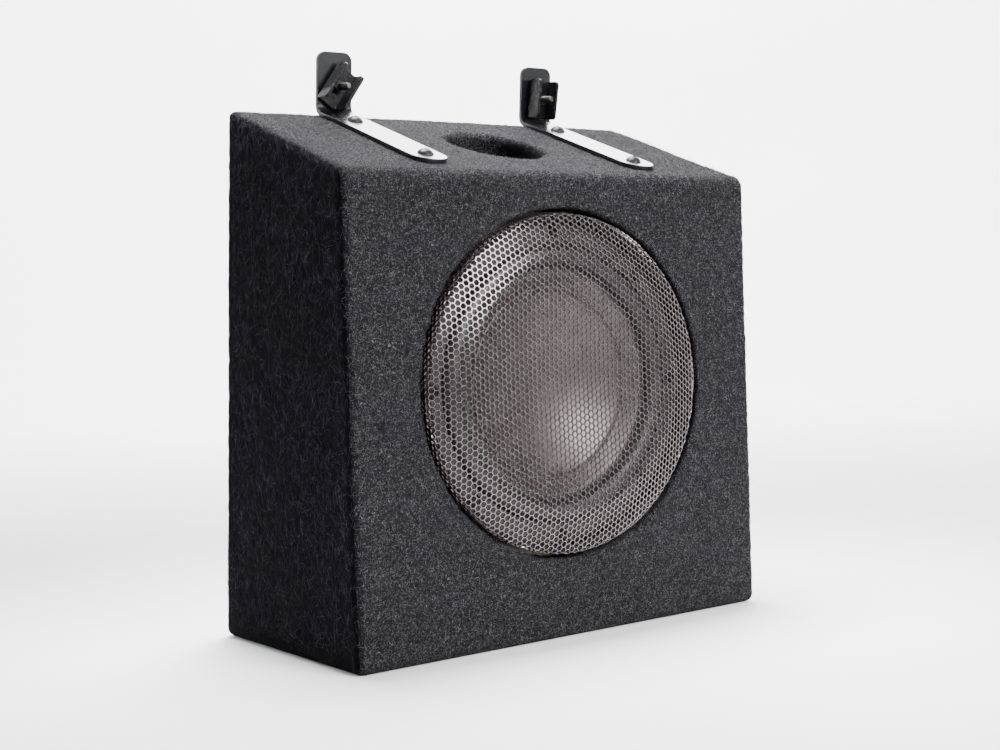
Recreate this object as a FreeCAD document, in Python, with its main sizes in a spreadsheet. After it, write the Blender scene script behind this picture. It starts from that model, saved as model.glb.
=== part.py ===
import FreeCAD, Part
import math
import os
import Sketcher

# A powered car subwoofer: a carpeted, vented wedge cabinet, an eight-inch class driver behind a domed
# perforated grille, two steel brackets with turning clamps, and an amplifier let into the right side.
# Frame: +Z up, +X to the right seen from the front, -Y to the front, origin under the middle of the box.

Vector = FreeCAD.Vector
doc = FreeCAD.newDocument("car_subwoofer")

# ---- driving dimensions, millimetres and degrees -------------------------------------------------------
DIMENSIONS = {
    # cabinet, over the carpet
    "box_width": 350, "box_depth": 184, "front_height": 317, "top_slope": 19.9, "back_slope": 5.45,
    "carpet": 2.5, "corner_round": 6, "board": 12, "side_board": 15, "front_board": 15, "glue_gap": 0.05,
    "pad_thickness": 10, "pad_width": 200, "pad_low": 60, "pad_high": 240,
    # driver and grille, heights along the axis counted from the front face, forwards positive
    "axis_height": 174, "mouth_radius": 119.3, "grille_proud": 9, "grille_rim": 115.7,
    "grille_rim_proud": 2.4, "grille_ridge": 87, "grille_middle": 5.6, "grille_gauge": 1,
    "shoulder": 2.5, "ring_inner": 111.4, "ring_outer": 115, "skirt_depth": 9,
    "flange_radius": 110.5, "flange_inner": 92, "flange_front": 12.5, "flange_gauge": 3.5,
    "seal_gauge": 1.5, "trim_gauge": 1.2, "trim_inner": 97.2, "land_radius": 98.5, "land_gauge": 2,
    "screw_circle": 104.7, "screw_count": 8, "screw_head": 4.2, "screw_head_height": 2.2,
    "screw_shank": 2, "screw_length": 16, "cutout_radius": 95,
    "basket_wall": 2.5, "basket_foot": 58, "basket_depth": 72, "window_count": 8, "window_radius": 11,
    "roll_inner": 80, "roll_outer": 96, "roll_rise": 7, "skin": 1.3,
    "cone_lip": 76.5, "cone_seat": 67, "cone_neck": 26.4, "cone_drop": 44,
    "bowl_drop": 19, "former_radius": 25.6, "former_wall": 0.5, "former_end": 85,
    "coil_wall": 1, "coil_top": 68, "coil_end": 84,
    "spider_depth": 62, "spider_outer": 54, "spider_wave": 1.5,
    "plate_inner": 27.6, "plate_outer": 54, "plate_gauge": 8, "magnet_inner": 33, "magnet_outer": 60,
    "magnet_height": 17, "yoke_gauge": 7, "pole_radius": 24.8, "pole_vent": 7,
    # vent
    "vent_down_slope": 78.5, "vent_radius": 34, "vent_wall": 2.4, "vent_length": 70, "vent_mouth": 38,
    "vent_flange": 46, "vent_flange_gauge": 3,
    # brackets and clamps
    "bracket_spread": 91, "bracket_width": 28, "bracket_gauge": 3, "strap_end": 141, "flange_rise": 43.5,
    "bracket_set": 2, "bend_inside": 5, "strap_tip": 13.9, "flange_tip": 6.5,
    "strap_screw_near": 34, "strap_screw_far": 126, "strap_head": 5.8, "strap_head_rise": 3.6,
    "strap_shank": 2.5, "strap_screw_length": 20,
    "stud_rise": 18.8, "stud_radius": 2.5, "stud_reach": 19.8, "running": 0.08,
    "clamp_standoff": 1.8, "washer_radius": 6.5, "clamp_length": 29.5, "clamp_width": 18.6,
    "clamp_depth": 13.9, "clamp_gauge": 2, "clamp_bend": 3, "clamp_tip": 3,
    "clamp_turn_left": 34, "clamp_turn_right": 5, "nut_flat": 8, "nut_gauge": 3.4, "nut_collar": 4.7,
    "nut_collar_gauge": 1.2,
    # amplifier, let into the right side
    "amp_y": 4, "amp_z": 150, "amp_plate_width": 112, "amp_plate_height": 200, "amp_plate_gauge": 2.5,
    "amp_gap": 0.4, "amp_ledge": 5, "amp_window_width": 98, "amp_window_height": 186,
    "amp_gasket": 1, "amp_cover_width": 94, "amp_cover_height": 180, "amp_cover_depth": 46,
    "amp_cover_wall": 1.5, "amp_board_back": 18, "amp_board_gauge": 1.6, "amp_board_width": 84,
    "amp_board_height": 168, "fin_count": 13, "fin_pitch": 7.5, "fin_gauge": 2, "fin_rise": 5,
    "fin_length": 82, "fin_middle": 50, "plate_screw_radius": 3.2, "plate_screw_inset": 5,
    "knob_radius": 7, "knob_height": 7, "knob_shaft": 3, "knob_row": -8, "gain_knob_at": -34,
    "crossover_knob_at": -6, "pot_size": 13, "pot_depth": 8, "phase_at": 18, "phase_travel": 4,
    "light_at": 40, "jack_row": -38, "jack_left_at": -38, "jack_right_at": -22, "jack_radius": 4.15,
    "jack_reach": 8.5, "socket_wall": 1.5, "remote_at": 2, "high_level_at": 32,
    "power_row": -72, "power_at": -20, "power_width": 44, "power_height": 20, "power_depth": 7.6,
    "cable_radius": 3, "cable_bore": 13, "cable_spread": 14, "fuse_at": 30,
    # small pieces on and behind the amplifier's plate
    "plate_screw_head": 1.8, "plate_screw_shank": 1.45, "plate_screw_length": 12, "drive_radius": 1.2,
    "grip_count": 12, "grip_radius": 0.8, "pointer_width": 1.2, "knob_lift": 0.5,
    "switch_width": 3, "switch_size": 6, "housing_depth": 4, "housing_width": 8, "housing_height": 16,
    "light_radius": 1.5, "light_flange": 2.2, "light_rise": 1.2, "jack_collar": 1, "pin_radius": 1.6,
    "socket_height": 11, "remote_width": 14, "high_level_width": 24, "socket_depth": 11, "socket_rise": 1,
    "clearance": 0.1, "block_root": 4, "control_bore": 1.5, "clamp_screw": 2.6, "clamp_screw_rise": 0.9,
    "fuse_width": 19, "fuse_thick": 5.6, "fuse_holder_width": 24, "fuse_holder_height": 14, "fuse_rise": 4,
    "capacitor_radius": 7.5, "capacitor_length": 22, "toroid_outer": 15, "toroid_inner": 7,
    "toroid_height": 13, "spreader_width": 12, "spreader_height": 70, "spreader_at": 34,
    "transistor_size": 15, "transistor_gauge": 4.5, "transistor_at": 25.5,
    # wires from the amplifier to the driver, and the strip that they end in
    "wire_radius": 1.2, "wire_spread": 2.2, "wire_bend": 12, "wire_x": 88, "wire_at": -30, "wire_row": 24,
    "strip_size": 12, "strip_y": -51.5, "strip_x": 85,
}

sheet = doc.addObject("Spreadsheet::Sheet", "dims")
for row, (alias, amount) in enumerate(DIMENSIONS.items(), start=1):
    sheet.set(f"A{row}", str(amount))
    sheet.setAlias(f"A{row}", alias)
doc.recompute()


def bound(expression):
    """The expression with each sheet alias written as dims.alias."""
    words = []
    word = ""
    for letter in expression + " ":
        if letter.isalnum() or letter == "_":
            word += letter
            continue
        words.append("dims." + word if word in DIMENSIONS else word)
        words.append(letter)
        word = ""
    return "".join(words).strip()


def amount_of(expression):
    """The number that an expression over the sheet comes to."""
    found = sheet.evalExpression(bound(expression))
    return float(getattr(found, "Value", found))


# ---- places worked out from the dimensions, as expressions ----------------------------------------------
FRONT = "((grille_proud - box_depth) / 2)"
BACK = "((grille_proud + box_depth) / 2)"
TOP_TAN = "tan(top_slope)"
BACK_TAN = "tan(back_slope)"


def back_at(height, inset="0"):
    """Y of the leaning back face, moved in by inset, at a height."""
    return f"({BACK} - ({height}) * {BACK_TAN} - ({inset}) / cos(back_slope))"


def top_at(y, inset="0"):
    """Z of the sloping top face, moved in by inset, at a depth."""
    return f"(front_height + (({y}) - {FRONT}) * {TOP_TAN} - ({inset}) / cos(top_slope))"


def back_top_height(inset="0"):
    """Z of the edge where the back and the top, both moved in by inset, meet."""
    level = f"(box_depth - ({inset}) / cos(back_slope))"
    rise = f"(front_height + {level} * {TOP_TAN} - ({inset}) / cos(top_slope))"
    return f"({rise} / (1 + {TOP_TAN} * {BACK_TAN}))"


def corners(inset):
    """The cabinet's side profile, moved in by inset: back bottom, front bottom, front top, back top."""
    high = back_top_height(inset)
    return [
        (back_at(inset, inset), f"({inset})"),
        (f"({FRONT} + ({inset}))", f"({inset})"),
        (f"({FRONT} + ({inset}))", top_at(f"{FRONT} + ({inset})", inset)),
        (back_at(high, inset), high),
    ]


# The edge between back and top, where both brackets bend, and unit steps along the sloping faces.
EDGE_Z = back_top_height()
EDGE_Y = back_at(EDGE_Z)


def on_top(down, above="0"):
    """(y, z) of a point down the slope from the back edge and above the top face."""
    y = f"({EDGE_Y} - ({down}) * cos(top_slope) - ({above}) * sin(top_slope))"
    z = f"({EDGE_Z} - ({down}) * sin(top_slope) + ({above}) * cos(top_slope))"
    return y, z


def on_back(up, forward="0"):
    """(y, z) of a point up the back's plane from the back edge and forward of it."""
    y = f"({EDGE_Y} - ({up}) * sin(back_slope) - ({forward}) * cos(back_slope))"
    z = f"({EDGE_Z} + ({up}) * cos(back_slope) - ({forward}) * sin(back_slope))"
    return y, z


UP = (Vector(1, 0, 0), "0")
FORWARDS = (Vector(1, 0, 0), "90")
RIGHTWARDS = (Vector(0, 1, 0), "90")
OFF_TOP = (Vector(1, 0, 0), "top_slope")
OFF_BACK = (Vector(1, 0, 0), "90 + back_slope")


def place(thing, x, y, z, turn=UP):
    """Binds an object's placement: its origin, and the turn that points its own Z axis."""
    axis, angle = turn
    thing.Placement = FreeCAD.Placement(Vector(0, 0, 0), FreeCAD.Rotation(axis, amount_of(angle) or 1e-9))
    if angle != "0":
        thing.setExpression("Placement.Rotation.Angle", bound(angle))
    for name, expression in zip("xyz", (x, y, z)):
        thing.setExpression(f"Placement.Base.{name}", bound(expression))
    return thing


# ---- building blocks ------------------------------------------------------------------------------------
finished = {}


def finish(label, thing):
    """Names a sub-part and lists it for export."""
    thing.Label = label
    finished[label] = thing
    return thing


def box(length, width, height, x, y, z, turn=UP):
    """A block with one corner at x, y, z."""
    block = doc.addObject("Part::Box", "block")
    for name, size in (("Length", length), ("Width", width), ("Height", height)):
        block.setExpression(name, bound(size))
    return place(block, x, y, z, turn)


def block_about(size_x, size_y, size_z, x, y, z):
    """A block with its middle at x, y, z."""
    return box(size_x, size_y, size_z, f"{x} - ({size_x}) / 2", f"{y} - ({size_y}) / 2",
               f"{z} - ({size_z}) / 2")


def rod(radius, length, x, y, z, turn=UP):
    """A cylinder that starts at x, y, z and runs along its turned Z axis."""
    cylinder = doc.addObject("Part::Cylinder", "rod")
    cylinder.setExpression("Radius", bound(radius))
    cylinder.setExpression("Height", bound(length))
    return place(cylinder, x, y, z, turn)


def cone_rod(radius_start, radius_end, length, x, y, z, turn=UP):
    """A cone frustum that starts at x, y, z."""
    frustum = doc.addObject("Part::Cone", "frustum")
    frustum.setExpression("Radius1", bound(radius_start))
    frustum.setExpression("Radius2", bound(radius_end))
    frustum.setExpression("Height", bound(length))
    return place(frustum, x, y, z, turn)


def fused(*things):
    """One solid from several that touch or overlap."""
    whole = doc.addObject("Part::MultiFuse", "whole")
    whole.Shapes = list(things)
    whole.Refine = True
    return whole


def group(*things):
    """Several separate solids kept as one sub-part."""
    gathered = doc.addObject("Part::Compound", "group")
    gathered.Links = list(things)
    return gathered


def cut(base, *tools):
    """The base without the tools."""
    for tool in tools:
        rest = doc.addObject("Part::Cut", "cut")
        rest.Base = base
        rest.Tool = tool
        base = rest
    return base


def tube(outer, inner, length, x, y, z, turn=UP):
    """A ring or tube that starts at x, y, z."""
    return cut(rod(outer, length, x, y, z, turn), rod(inner, length, x, y, z, turn))


def outline(sketch, points):
    """Draws a closed outline whose points are bound to the sheet. A third value on a point is the radius of
    the arc to the next point, positive where it bulges to the left of the way there."""
    spots = [Vector(amount_of(point[0]), amount_of(point[1]), 0) for point in points]
    ends = []
    for index, point in enumerate(points):
        start = spots[index]
        stop = spots[(index + 1) % len(spots)]
        if len(point) < 3:
            sketch.addGeometry(Part.LineSegment(start, stop), False)
            ends.append((1, 2))
            continue
        radius = amount_of(point[2])
        chord = stop - start
        left = Vector(-chord.y, chord.x, 0).normalize()
        sagitta = abs(radius) - math.sqrt(max(radius * radius - chord.Length ** 2 / 4, 0))
        middle = (start + stop) / 2 + left * math.copysign(sagitta, radius)
        sketch.addGeometry(Part.Arc(start, middle, stop), False)
        ends.append((2, 1) if radius > 0 else (1, 2))
    for index, point in enumerate(points):
        following = (index + 1) % len(points)
        sketch.addConstraint(Sketcher.Constraint("Coincident", index, ends[index][1],
                                                 following, ends[following][0]))
        for kind, expression in (("DistanceX", point[0]), ("DistanceY", point[1])):
            number = sketch.addConstraint(Sketcher.Constraint(kind, -1, 1, index, ends[index][0],
                                                              amount_of(expression)))
            sketch.setExpression(f"Constraints[{number}]", bound(expression))
        if len(point) > 2:
            number = sketch.addConstraint(Sketcher.Constraint("Radius", index, abs(amount_of(point[2]))))
            sketch.setExpression(f"Constraints[{number}]", bound(f"abs({point[2]})"))


def sketched_body(role, points):
    """A body with one sketch on one of its own origin planes."""
    body = doc.addObject("PartDesign::Body", "body")
    sketch = body.newObject("Sketcher::SketchObject", "profile")
    plane = [feature for feature in body.Origin.OriginFeatures if feature.Role == role][0]
    sketch.AttachmentSupport = [(plane, "")]
    sketch.MapMode = "FlatFace"
    outline(sketch, points)
    return body, sketch


def prism(points, length, role="YZ_Plane"):
    """A body padded both ways from the plane of its profile. On the YZ plane, points are (y, z)."""
    body, sketch = sketched_body(role, points)
    pad = body.newObject("PartDesign::Pad", "pad")
    pad.Profile = sketch
    pad.SideType = "Symmetric"
    pad.setExpression("Length", bound(length))
    return body


def turned(points):
    """A body turned about its own Z axis from (radius, height) points."""
    body, sketch = sketched_body("XZ_Plane", points)
    revolution = body.newObject("PartDesign::Revolution", "turn")
    revolution.Profile = sketch
    revolution.ReferenceAxis = (sketch, ["V_Axis"])
    revolution.Angle = 360
    return body


def on_axis(points):
    """A turned piece on the driver's axis. Its heights count forwards from the cabinet's front face."""
    return place(turned(points), "0", FRONT, "axis_height", FORWARDS)


def rounded(body, radius, is_edge):
    """Fillets the body's edges that is_edge picks, after it has been computed."""
    doc.recompute()
    last = body.Tip
    names = [f"Edge{number}" for number, edge in enumerate(last.Shape.Edges, start=1) if is_edge(edge)]
    fillet = body.newObject("PartDesign::Fillet", "fillet")
    fillet.Base = (last, names)
    fillet.setExpression("Radius", bound(radius))
    body.Tip = fillet
    return body


def around(count_name, circle, make):
    """One piece for each place on a circle about the driver's axis, made from its x and z."""
    count = round(amount_of(count_name))
    pieces = []
    for number in range(count):
        angle = f"{number} * 360 / {count_name}"
        pieces.append(make(f"({circle}) * sin({angle})", f"axis_height + ({circle}) * cos({angle})"))
    return pieces


def mirrored_pair(make):
    """The left and the right one of a pair, from the sign of x."""
    return [make("-1"), make("1")]


def forward_of_front(height):
    """Y of a place on the driver's axis, its height counted forwards from the front face."""
    return f"({FRONT} - ({height}))"


# ---- cabinet boards -------------------------------------------------------------------------------------
OUTSIDE = corners("carpet")
INSIDE = corners("carpet + board")
FRONT_INNER = f"({FRONT} + carpet + front_board)"
INNER_WIDTH = "(box_width - 2 * carpet - 2 * side_board - 2 * glue_gap)"

inside_front_top = (FRONT_INNER, top_at(FRONT_INNER, "carpet + board"))
inside_front_bottom = (FRONT_INNER, "carpet + board")
bottom_back, bottom_front, top_front, top_back = OUTSIDE
inner_bottom_back, inner_top_back = INSIDE[0], INSIDE[3]

mouth_hole = rod("mouth_radius + carpet", "front_board + carpet", "0", FRONT, "axis_height",
                 (Vector(1, 0, 0), "-90"))
front_panel = prism([bottom_front, inside_front_bottom, inside_front_top, top_front], INNER_WIDTH)
finish("front_panel", cut(front_panel, mouth_hole))

bottom_panel = prism([bottom_back, bottom_front, inside_front_bottom, inner_bottom_back], INNER_WIDTH)
finish("bottom_panel", bottom_panel)

finish("back_panel", prism([bottom_back, inner_bottom_back, inner_top_back, top_back], INNER_WIDTH))

under_y, under_z = on_top("vent_down_slope", "-carpet - board")
vent_hole = rod("vent_radius + carpet", "2 * board + 2 * carpet", "0",
                *on_top("vent_down_slope", "-carpet - 1.5 * board"), OFF_TOP)
strap_downs = ("strap_screw_near", "strap_screw_far")


def strap_screw_places():
    """(x, down the slope) of each strap screw."""
    return [(f"{side} * bracket_spread", down) for side in ("-1", "1") for down in strap_downs]


def screw_bores(radius, depth):
    """Bores for the strap screws, from the strap's top face down."""
    return [rod(radius, depth, x, *on_top(down, f"bracket_gauge - ({depth})"), OFF_TOP)
            for x, down in strap_screw_places()]


top_panel = prism([top_front, inside_front_top, inner_top_back, top_back], INNER_WIDTH)
finish("top_panel", cut(top_panel, vent_hole, *screw_bores("strap_shank + glue_gap", "60")))

# The baffle lies behind the front panel and carries the driver.
BAFFLE_BACK = f"({FRONT_INNER} + board)"
baffle = prism([
    (FRONT_INNER, "carpet + board"),
    (BAFFLE_BACK, "carpet + board"),
    (BAFFLE_BACK, top_at(BAFFLE_BACK, "carpet + board")),
    (FRONT_INNER, top_at(FRONT_INNER, "carpet + board")),
], INNER_WIDTH)
cutout = rod("cutout_radius", "3 * board", "0", f"{FRONT_INNER} - board", "axis_height",
             (Vector(1, 0, 0), "-90"))
pilots = around("screw_count", "screw_circle", lambda x, z: rod(
    "screw_shank + glue_gap", "3 * board", x, f"{FRONT_INNER} + 2 * board", z, FORWARDS))
finish("baffle_board", cut(baffle, cutout, group(*pilots)))


def side_board(sign):
    """One side board, a plate of the cabinet's whole side profile."""
    board = prism(OUTSIDE, "side_board")
    return place(board, f"{sign} * (box_width / 2 - carpet - side_board / 2)", "0", "0")


finish("left_panel", side_board("-1"))

# The right side board has a window for the amplifier, with a ledge that its plate is screwed to.
SIDE_FACE = "(box_width / 2 - carpet)"
LEDGE = "(box_width / 2 - carpet - side_board + amp_ledge)"
rebate = block_about("side_board", "amp_plate_width + 2 * amp_gap", "amp_plate_height + 2 * amp_gap",
                     f"({LEDGE} + side_board / 2)", "amp_y", "amp_z")
window = block_about("3 * side_board", "amp_window_width", "amp_window_height", SIDE_FACE, "amp_y", "amp_z")


def plate_screw_places():
    """(y, z) of the amplifier plate's screws."""
    half_width = "(amp_plate_width / 2 - plate_screw_inset)"
    half_height = "(amp_plate_height / 2 - plate_screw_inset)"
    return [(f"amp_y + {across} * {half_width}", f"amp_z + {up} * {half_height}")
            for across in ("-1", "1") for up in ("-1", "-0.33", "0.33", "1")]


plate_pilots = [rod("plate_screw_shank + glue_gap", "2 * side_board", f"({SIDE_FACE} - 2 * side_board)", y, z,
                    RIGHTWARDS) for y, z in plate_screw_places()]
finish("right_panel", cut(side_board("1"), rebate, window, group(*plate_pilots)))

# ---- carpet ---------------------------------------------------------------------------------------------
SKIN_WIDTH = "(box_width - 2 * carpet)"
outer = corners("0")
lower = "carpet"
wrap_profile = [
    (back_at(lower), lower), outer[3], outer[2], (FRONT, lower),
    (OUTSIDE[1][0], lower), OUTSIDE[2], OUTSIDE[3], (OUTSIDE[0][0], lower),
]
wrap = prism(wrap_profile, SKIN_WIDTH)
top_edges = [Vector(0, amount_of(y), amount_of(z)) for y, z in (outer[2], outer[3])]
wrap = rounded(wrap, "corner_round", lambda edge: edge.Length > amount_of(SKIN_WIDTH) - 1 and any(
    edge.CenterOfMass.distanceToPoint(corner) < 1 for corner in top_edges))
mouth = rod("mouth_radius", "4 * front_board", "0", f"{FRONT} - front_board", "axis_height",
            (Vector(1, 0, 0), "-90"))
mouth_lip = rod("mouth_radius + carpet", "front_board", "0", forward_of_front("0"), "axis_height",
                (Vector(1, 0, 0), "-90"))
vent_lip = rod("vent_radius + carpet", "carpet + board", "0", under_y, under_z, OFF_TOP)
vent_core = rod("vent_radius", "8 * board", "0", *on_top("vent_down_slope", "-4 * board"), OFF_TOP)
vent_flare = cone_rod("vent_radius", "vent_mouth + 2 * (vent_mouth - vent_radius)",
                      "3 * (vent_mouth - vent_radius)", "0",
                      *on_top("vent_down_slope", "vent_radius - vent_mouth"), OFF_TOP)
finish("carpet_wrap", cut(fused(wrap, mouth_lip, vent_lip), mouth, vent_core, vent_flare,
                          *screw_bores("strap_shank + 0.5", "30")))

bottom_carpet = prism([(back_at("0"), "0"), (FRONT, "0"), (FRONT, "carpet"), (back_at("carpet"), "carpet")],
                      SKIN_WIDTH)
finish("carpet_bottom", bottom_carpet)


def side_carpet(sign):
    """The carpet sheet of one side."""
    return place(prism(outer, "carpet"), f"{sign} * (box_width / 2 - carpet / 2)", "0", "0")


finish("carpet_left", side_carpet("-1"))
carpet_window = block_about("4 * carpet", "amp_plate_width + 2 * amp_gap", "amp_plate_height + 2 * amp_gap",
                            "box_width / 2", "amp_y", "amp_z")
finish("carpet_right", cut(side_carpet("1"), carpet_window))

# ---- vent and damping -----------------------------------------------------------------------------------
vent_tube = place(turned([
    ("vent_radius", "0"), ("vent_flange", "0"), ("vent_flange", "-vent_flange_gauge"),
    ("vent_radius + vent_wall", "-vent_flange_gauge"), ("vent_radius + vent_wall", "-vent_length"),
    ("vent_radius", "-vent_length"),
]), "0", under_y, under_z, OFF_TOP)
finish("port_tube", vent_tube)

pad_near = "carpet + board + glue_gap"
pad_far = f"{pad_near} + pad_thickness"
finish("damping_pad", prism([
    (back_at("pad_low", pad_near), "pad_low"), (back_at("pad_low", pad_far), "pad_low"),
    (back_at("pad_high", pad_far), "pad_high"), (back_at("pad_high", pad_near), "pad_high"),
], "pad_width"))

# ---- grille ---------------------------------------------------------------------------------------------
# A formed sheet: a skirt in the mouth, a rounded shoulder, a bevel up to a ridge and a shallow hollow middle.
SEAT = "-(flange_front + flange_gauge + seal_gauge)"
HOLLOW = "(((grille_ridge) ^ 2 + (grille_proud - grille_middle) ^ 2) / (2 * (grille_proud - grille_middle)))"
skirt_outer = "(grille_rim + grille_gauge / 2)"
skirt_inner = "(grille_rim - grille_gauge / 2)"
finish("grille_mesh", on_axis([
    (skirt_inner, "-skirt_depth"), (skirt_outer, "-skirt_depth"),
    (skirt_outer, "grille_rim_proud - shoulder", "-shoulder"),
    (f"{skirt_outer} - shoulder", "grille_rim_proud"),
    ("grille_ridge", "grille_proud", HOLLOW),
    ("0", "grille_middle"), ("0", "grille_middle - grille_gauge", f"-({HOLLOW} + grille_gauge)"),
    ("grille_ridge", "grille_proud - grille_gauge"),
    (f"{skirt_inner} - shoulder + 0.5", "grille_rim_proud - grille_gauge"),
    (skirt_inner, "grille_rim_proud - shoulder"),
]))
finish("grille_ring", on_axis([
    ("ring_inner", SEAT), ("ring_outer + 3", SEAT), ("ring_outer + 3", f"{SEAT} + 2"),
    ("ring_outer", f"{SEAT} + 2"), ("ring_outer", "-3"), ("ring_inner", "-3"),
]))

# ---- driver: fixed pieces -------------------------------------------------------------------------------
FLANGE_BACK = "-(flange_front + flange_gauge)"
FLANGE_TOP = "-flange_front"


def screw_holes(radius):
    """Clearance holes on the driver's screw circle."""
    return group(*around("screw_count", "screw_circle",
                         lambda x, z: rod(radius, "60", x, f"{FRONT} + 40", z, FORWARDS)))


finish("driver_seal", cut(on_axis([
    ("cutout_radius", SEAT), ("flange_radius", SEAT), ("flange_radius", FLANGE_BACK),
    ("cutout_radius", FLANGE_BACK),
]), screw_holes("screw_shank + 0.4")))

LEDGE_DOWN = "-(spider_depth + skin)"
basket = on_axis([
    ("flange_inner", FLANGE_BACK), ("flange_radius", FLANGE_BACK), ("flange_radius", FLANGE_TOP),
    ("land_radius", FLANGE_TOP), ("land_radius", f"{FLANGE_TOP} - land_gauge"),
    ("flange_inner - basket_wall", f"{FLANGE_TOP} - land_gauge"), ("spider_outer + 1", LEDGE_DOWN),
    ("spider_outer - 4", LEDGE_DOWN), ("spider_outer - 4", "basket_wall - basket_depth"),
    ("plate_inner", "basket_wall - basket_depth"),
    ("plate_inner", "-basket_depth"), ("basket_foot + basket_wall", "-basket_depth"),
])
window_rods = []
for number in range(round(amount_of("window_count"))):
    window_angle = f"({number} + 0.5) * 360 / window_count"
    window_rods.append(rod("window_radius", "flange_radius", "0", f"({FRONT} + basket_depth / 2 + 2)",
                           "axis_height", (Vector(0, 1, 0), window_angle)))
finish("driver_basket", cut(basket, group(*window_rods), screw_holes("screw_shank + 0.4")))

finish("trim_gasket", cut(on_axis([
    ("trim_inner", FLANGE_TOP), ("flange_radius", FLANGE_TOP),
    ("flange_radius", f"{FLANGE_TOP} + trim_gauge"), ("trim_inner", f"{FLANGE_TOP} + trim_gauge"),
]), screw_holes("screw_head + 0.6")))


def driver_screw(x, z):
    """A pan-head screw, its head on the flange."""
    head_back = f"{FRONT} + flange_front"
    head = cone_rod("screw_head", "screw_head - 1", "screw_head_height", x, head_back, z, FORWARDS)
    recess = rod("1.6", "2", x, f"{FRONT} + flange_front - screw_head_height + 1.2", z, FORWARDS)
    shank = rod("screw_shank", "screw_length", x, f"{head_back} + screw_length", z, FORWARDS)
    return cut(fused(head, shank), recess)


finish("driver_screws", group(*around("screw_count", "screw_circle", driver_screw)))

PLATE_BACK = "-(basket_depth + plate_gauge)"
MAGNET_BACK = "-(basket_depth + plate_gauge + magnet_height)"
YOKE_BACK = "-(basket_depth + plate_gauge + magnet_height + yoke_gauge)"


def washer_shape(inner, outer, back, front):
    """A plain ring on the driver's axis."""
    return on_axis([(inner, back), (outer, back), (outer, front), (inner, front)])


finish("top_plate", washer_shape("plate_inner", "plate_outer", PLATE_BACK, "-basket_depth"))
finish("ring_magnet", washer_shape("magnet_inner", "magnet_outer", MAGNET_BACK, PLATE_BACK))
finish("back_plate", on_axis([
    ("pole_vent", YOKE_BACK), ("magnet_outer - 4", YOKE_BACK), ("magnet_outer - 1", f"{YOKE_BACK} + 3"),
    ("magnet_outer - 1", MAGNET_BACK), ("pole_radius", MAGNET_BACK), ("pole_radius", "-basket_depth"),
    ("pole_vent", "-basket_depth"),
]))

# ---- driver: moving and flexing pieces ------------------------------------------------------------------
CONE_LIP = "(-flange_front - 1)"
CONE_SEAT = "(-flange_front - 7.5)"
NECK = "(-flange_front - cone_drop)"
finish("cone", on_axis([
    ("cone_lip + 3", CONE_LIP), ("cone_lip + 3", f"{CONE_LIP} - skin"), ("cone_lip", f"{CONE_LIP} - skin"),
    ("cone_seat", f"{CONE_SEAT} - skin"), ("cone_neck", f"{NECK} - skin"), ("cone_neck", NECK),
    ("cone_seat - 1", CONE_SEAT), ("cone_seat", CONE_SEAT), ("cone_lip", CONE_LIP),
]))
BOWL = "((cone_seat ^ 2 + bowl_drop ^ 2) / (2 * bowl_drop))"
CAP_EDGE = f"({CONE_SEAT} + 0.1)"
finish("dust_cap", on_axis([
    ("0", f"{CAP_EDGE} - bowl_drop"), ("0", f"{CAP_EDGE} - bowl_drop + skin", f"-{BOWL}"),
    ("cone_seat", f"{CAP_EDGE} + skin"), ("cone_seat", CAP_EDGE, BOWL),
]))
finish("coil_former", on_axis([
    ("former_radius", "-former_end"), ("former_radius + former_wall", "-former_end"),
    ("former_radius + former_wall", f"{NECK} - skin"), ("former_radius", f"{NECK} - skin"),
]))
coil_inner = "(former_radius + former_wall + glue_gap)"
finish("voice_coil", washer_shape(coil_inner, f"{coil_inner} + coil_wall", "-coil_end", "-coil_top"))

ROLL = "((((roll_outer - roll_inner) / 2) ^ 2 + roll_rise ^ 2) / (2 * roll_rise))"
ROLL_FOOT = f"({FLANGE_TOP} - land_gauge + 0.3)"
finish("surround", on_axis([
    ("cone_lip + 0.5", f"{CONE_LIP} + 0.3"), ("roll_inner", f"{CONE_LIP} + 0.3", f"{ROLL}"),
    ("roll_outer", f"{ROLL_FOOT} + skin"), ("land_radius - 0.3", f"{ROLL_FOOT} + skin"),
    ("land_radius - 0.3", ROLL_FOOT), ("roll_outer - skin", ROLL_FOOT, f"-({ROLL} - skin)"),
    ("roll_inner + skin", f"{CONE_LIP} - 0.9"), ("cone_lip + 3.3", f"{CONE_LIP} - 0.9"),
    ("cone_lip + 3.3", f"{CONE_LIP} + 0.05"), ("cone_lip + 0.5", f"{CONE_LIP} + 0.05"),
]))

# The spider is a disc with concentric corrugations between the former and a step in the basket.
SPIDER_WAVES = 3
wave = "((spider_outer - former_radius - 8) / 6)"
spider_top = []
spider_low = []
for number in range(2 * SPIDER_WAVES + 1):
    radius = f"former_radius + 5 + {number} * {wave}"
    lift = "-spider_wave" if number % 2 else "spider_wave"
    spider_top.append((radius, f"-spider_depth + {lift}"))
    spider_low.append((radius, f"-spider_depth + {lift} - skin"))
former_side = "former_radius + former_wall + 0.3"
finish("spider", on_axis([
    (former_side, "-spider_depth"), *spider_top, ("spider_outer", "-spider_depth"),
    ("spider_outer", "-spider_depth - skin"), *spider_low[::-1], (former_side, "-spider_depth - skin"),
]))

# ---- brackets -------------------------------------------------------------------------------------------
# Seen from the side each bracket is a flat bar bent between the top's slope and the back's lean.
BEND_HALF = "((90 - top_slope + back_slope) / 2)"
SETBACK = f"((bend_inside) * tan({BEND_HALF}))"
OUTER_SETBACK = f"((bend_inside + bracket_gauge) * tan({BEND_HALF}))"
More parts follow.
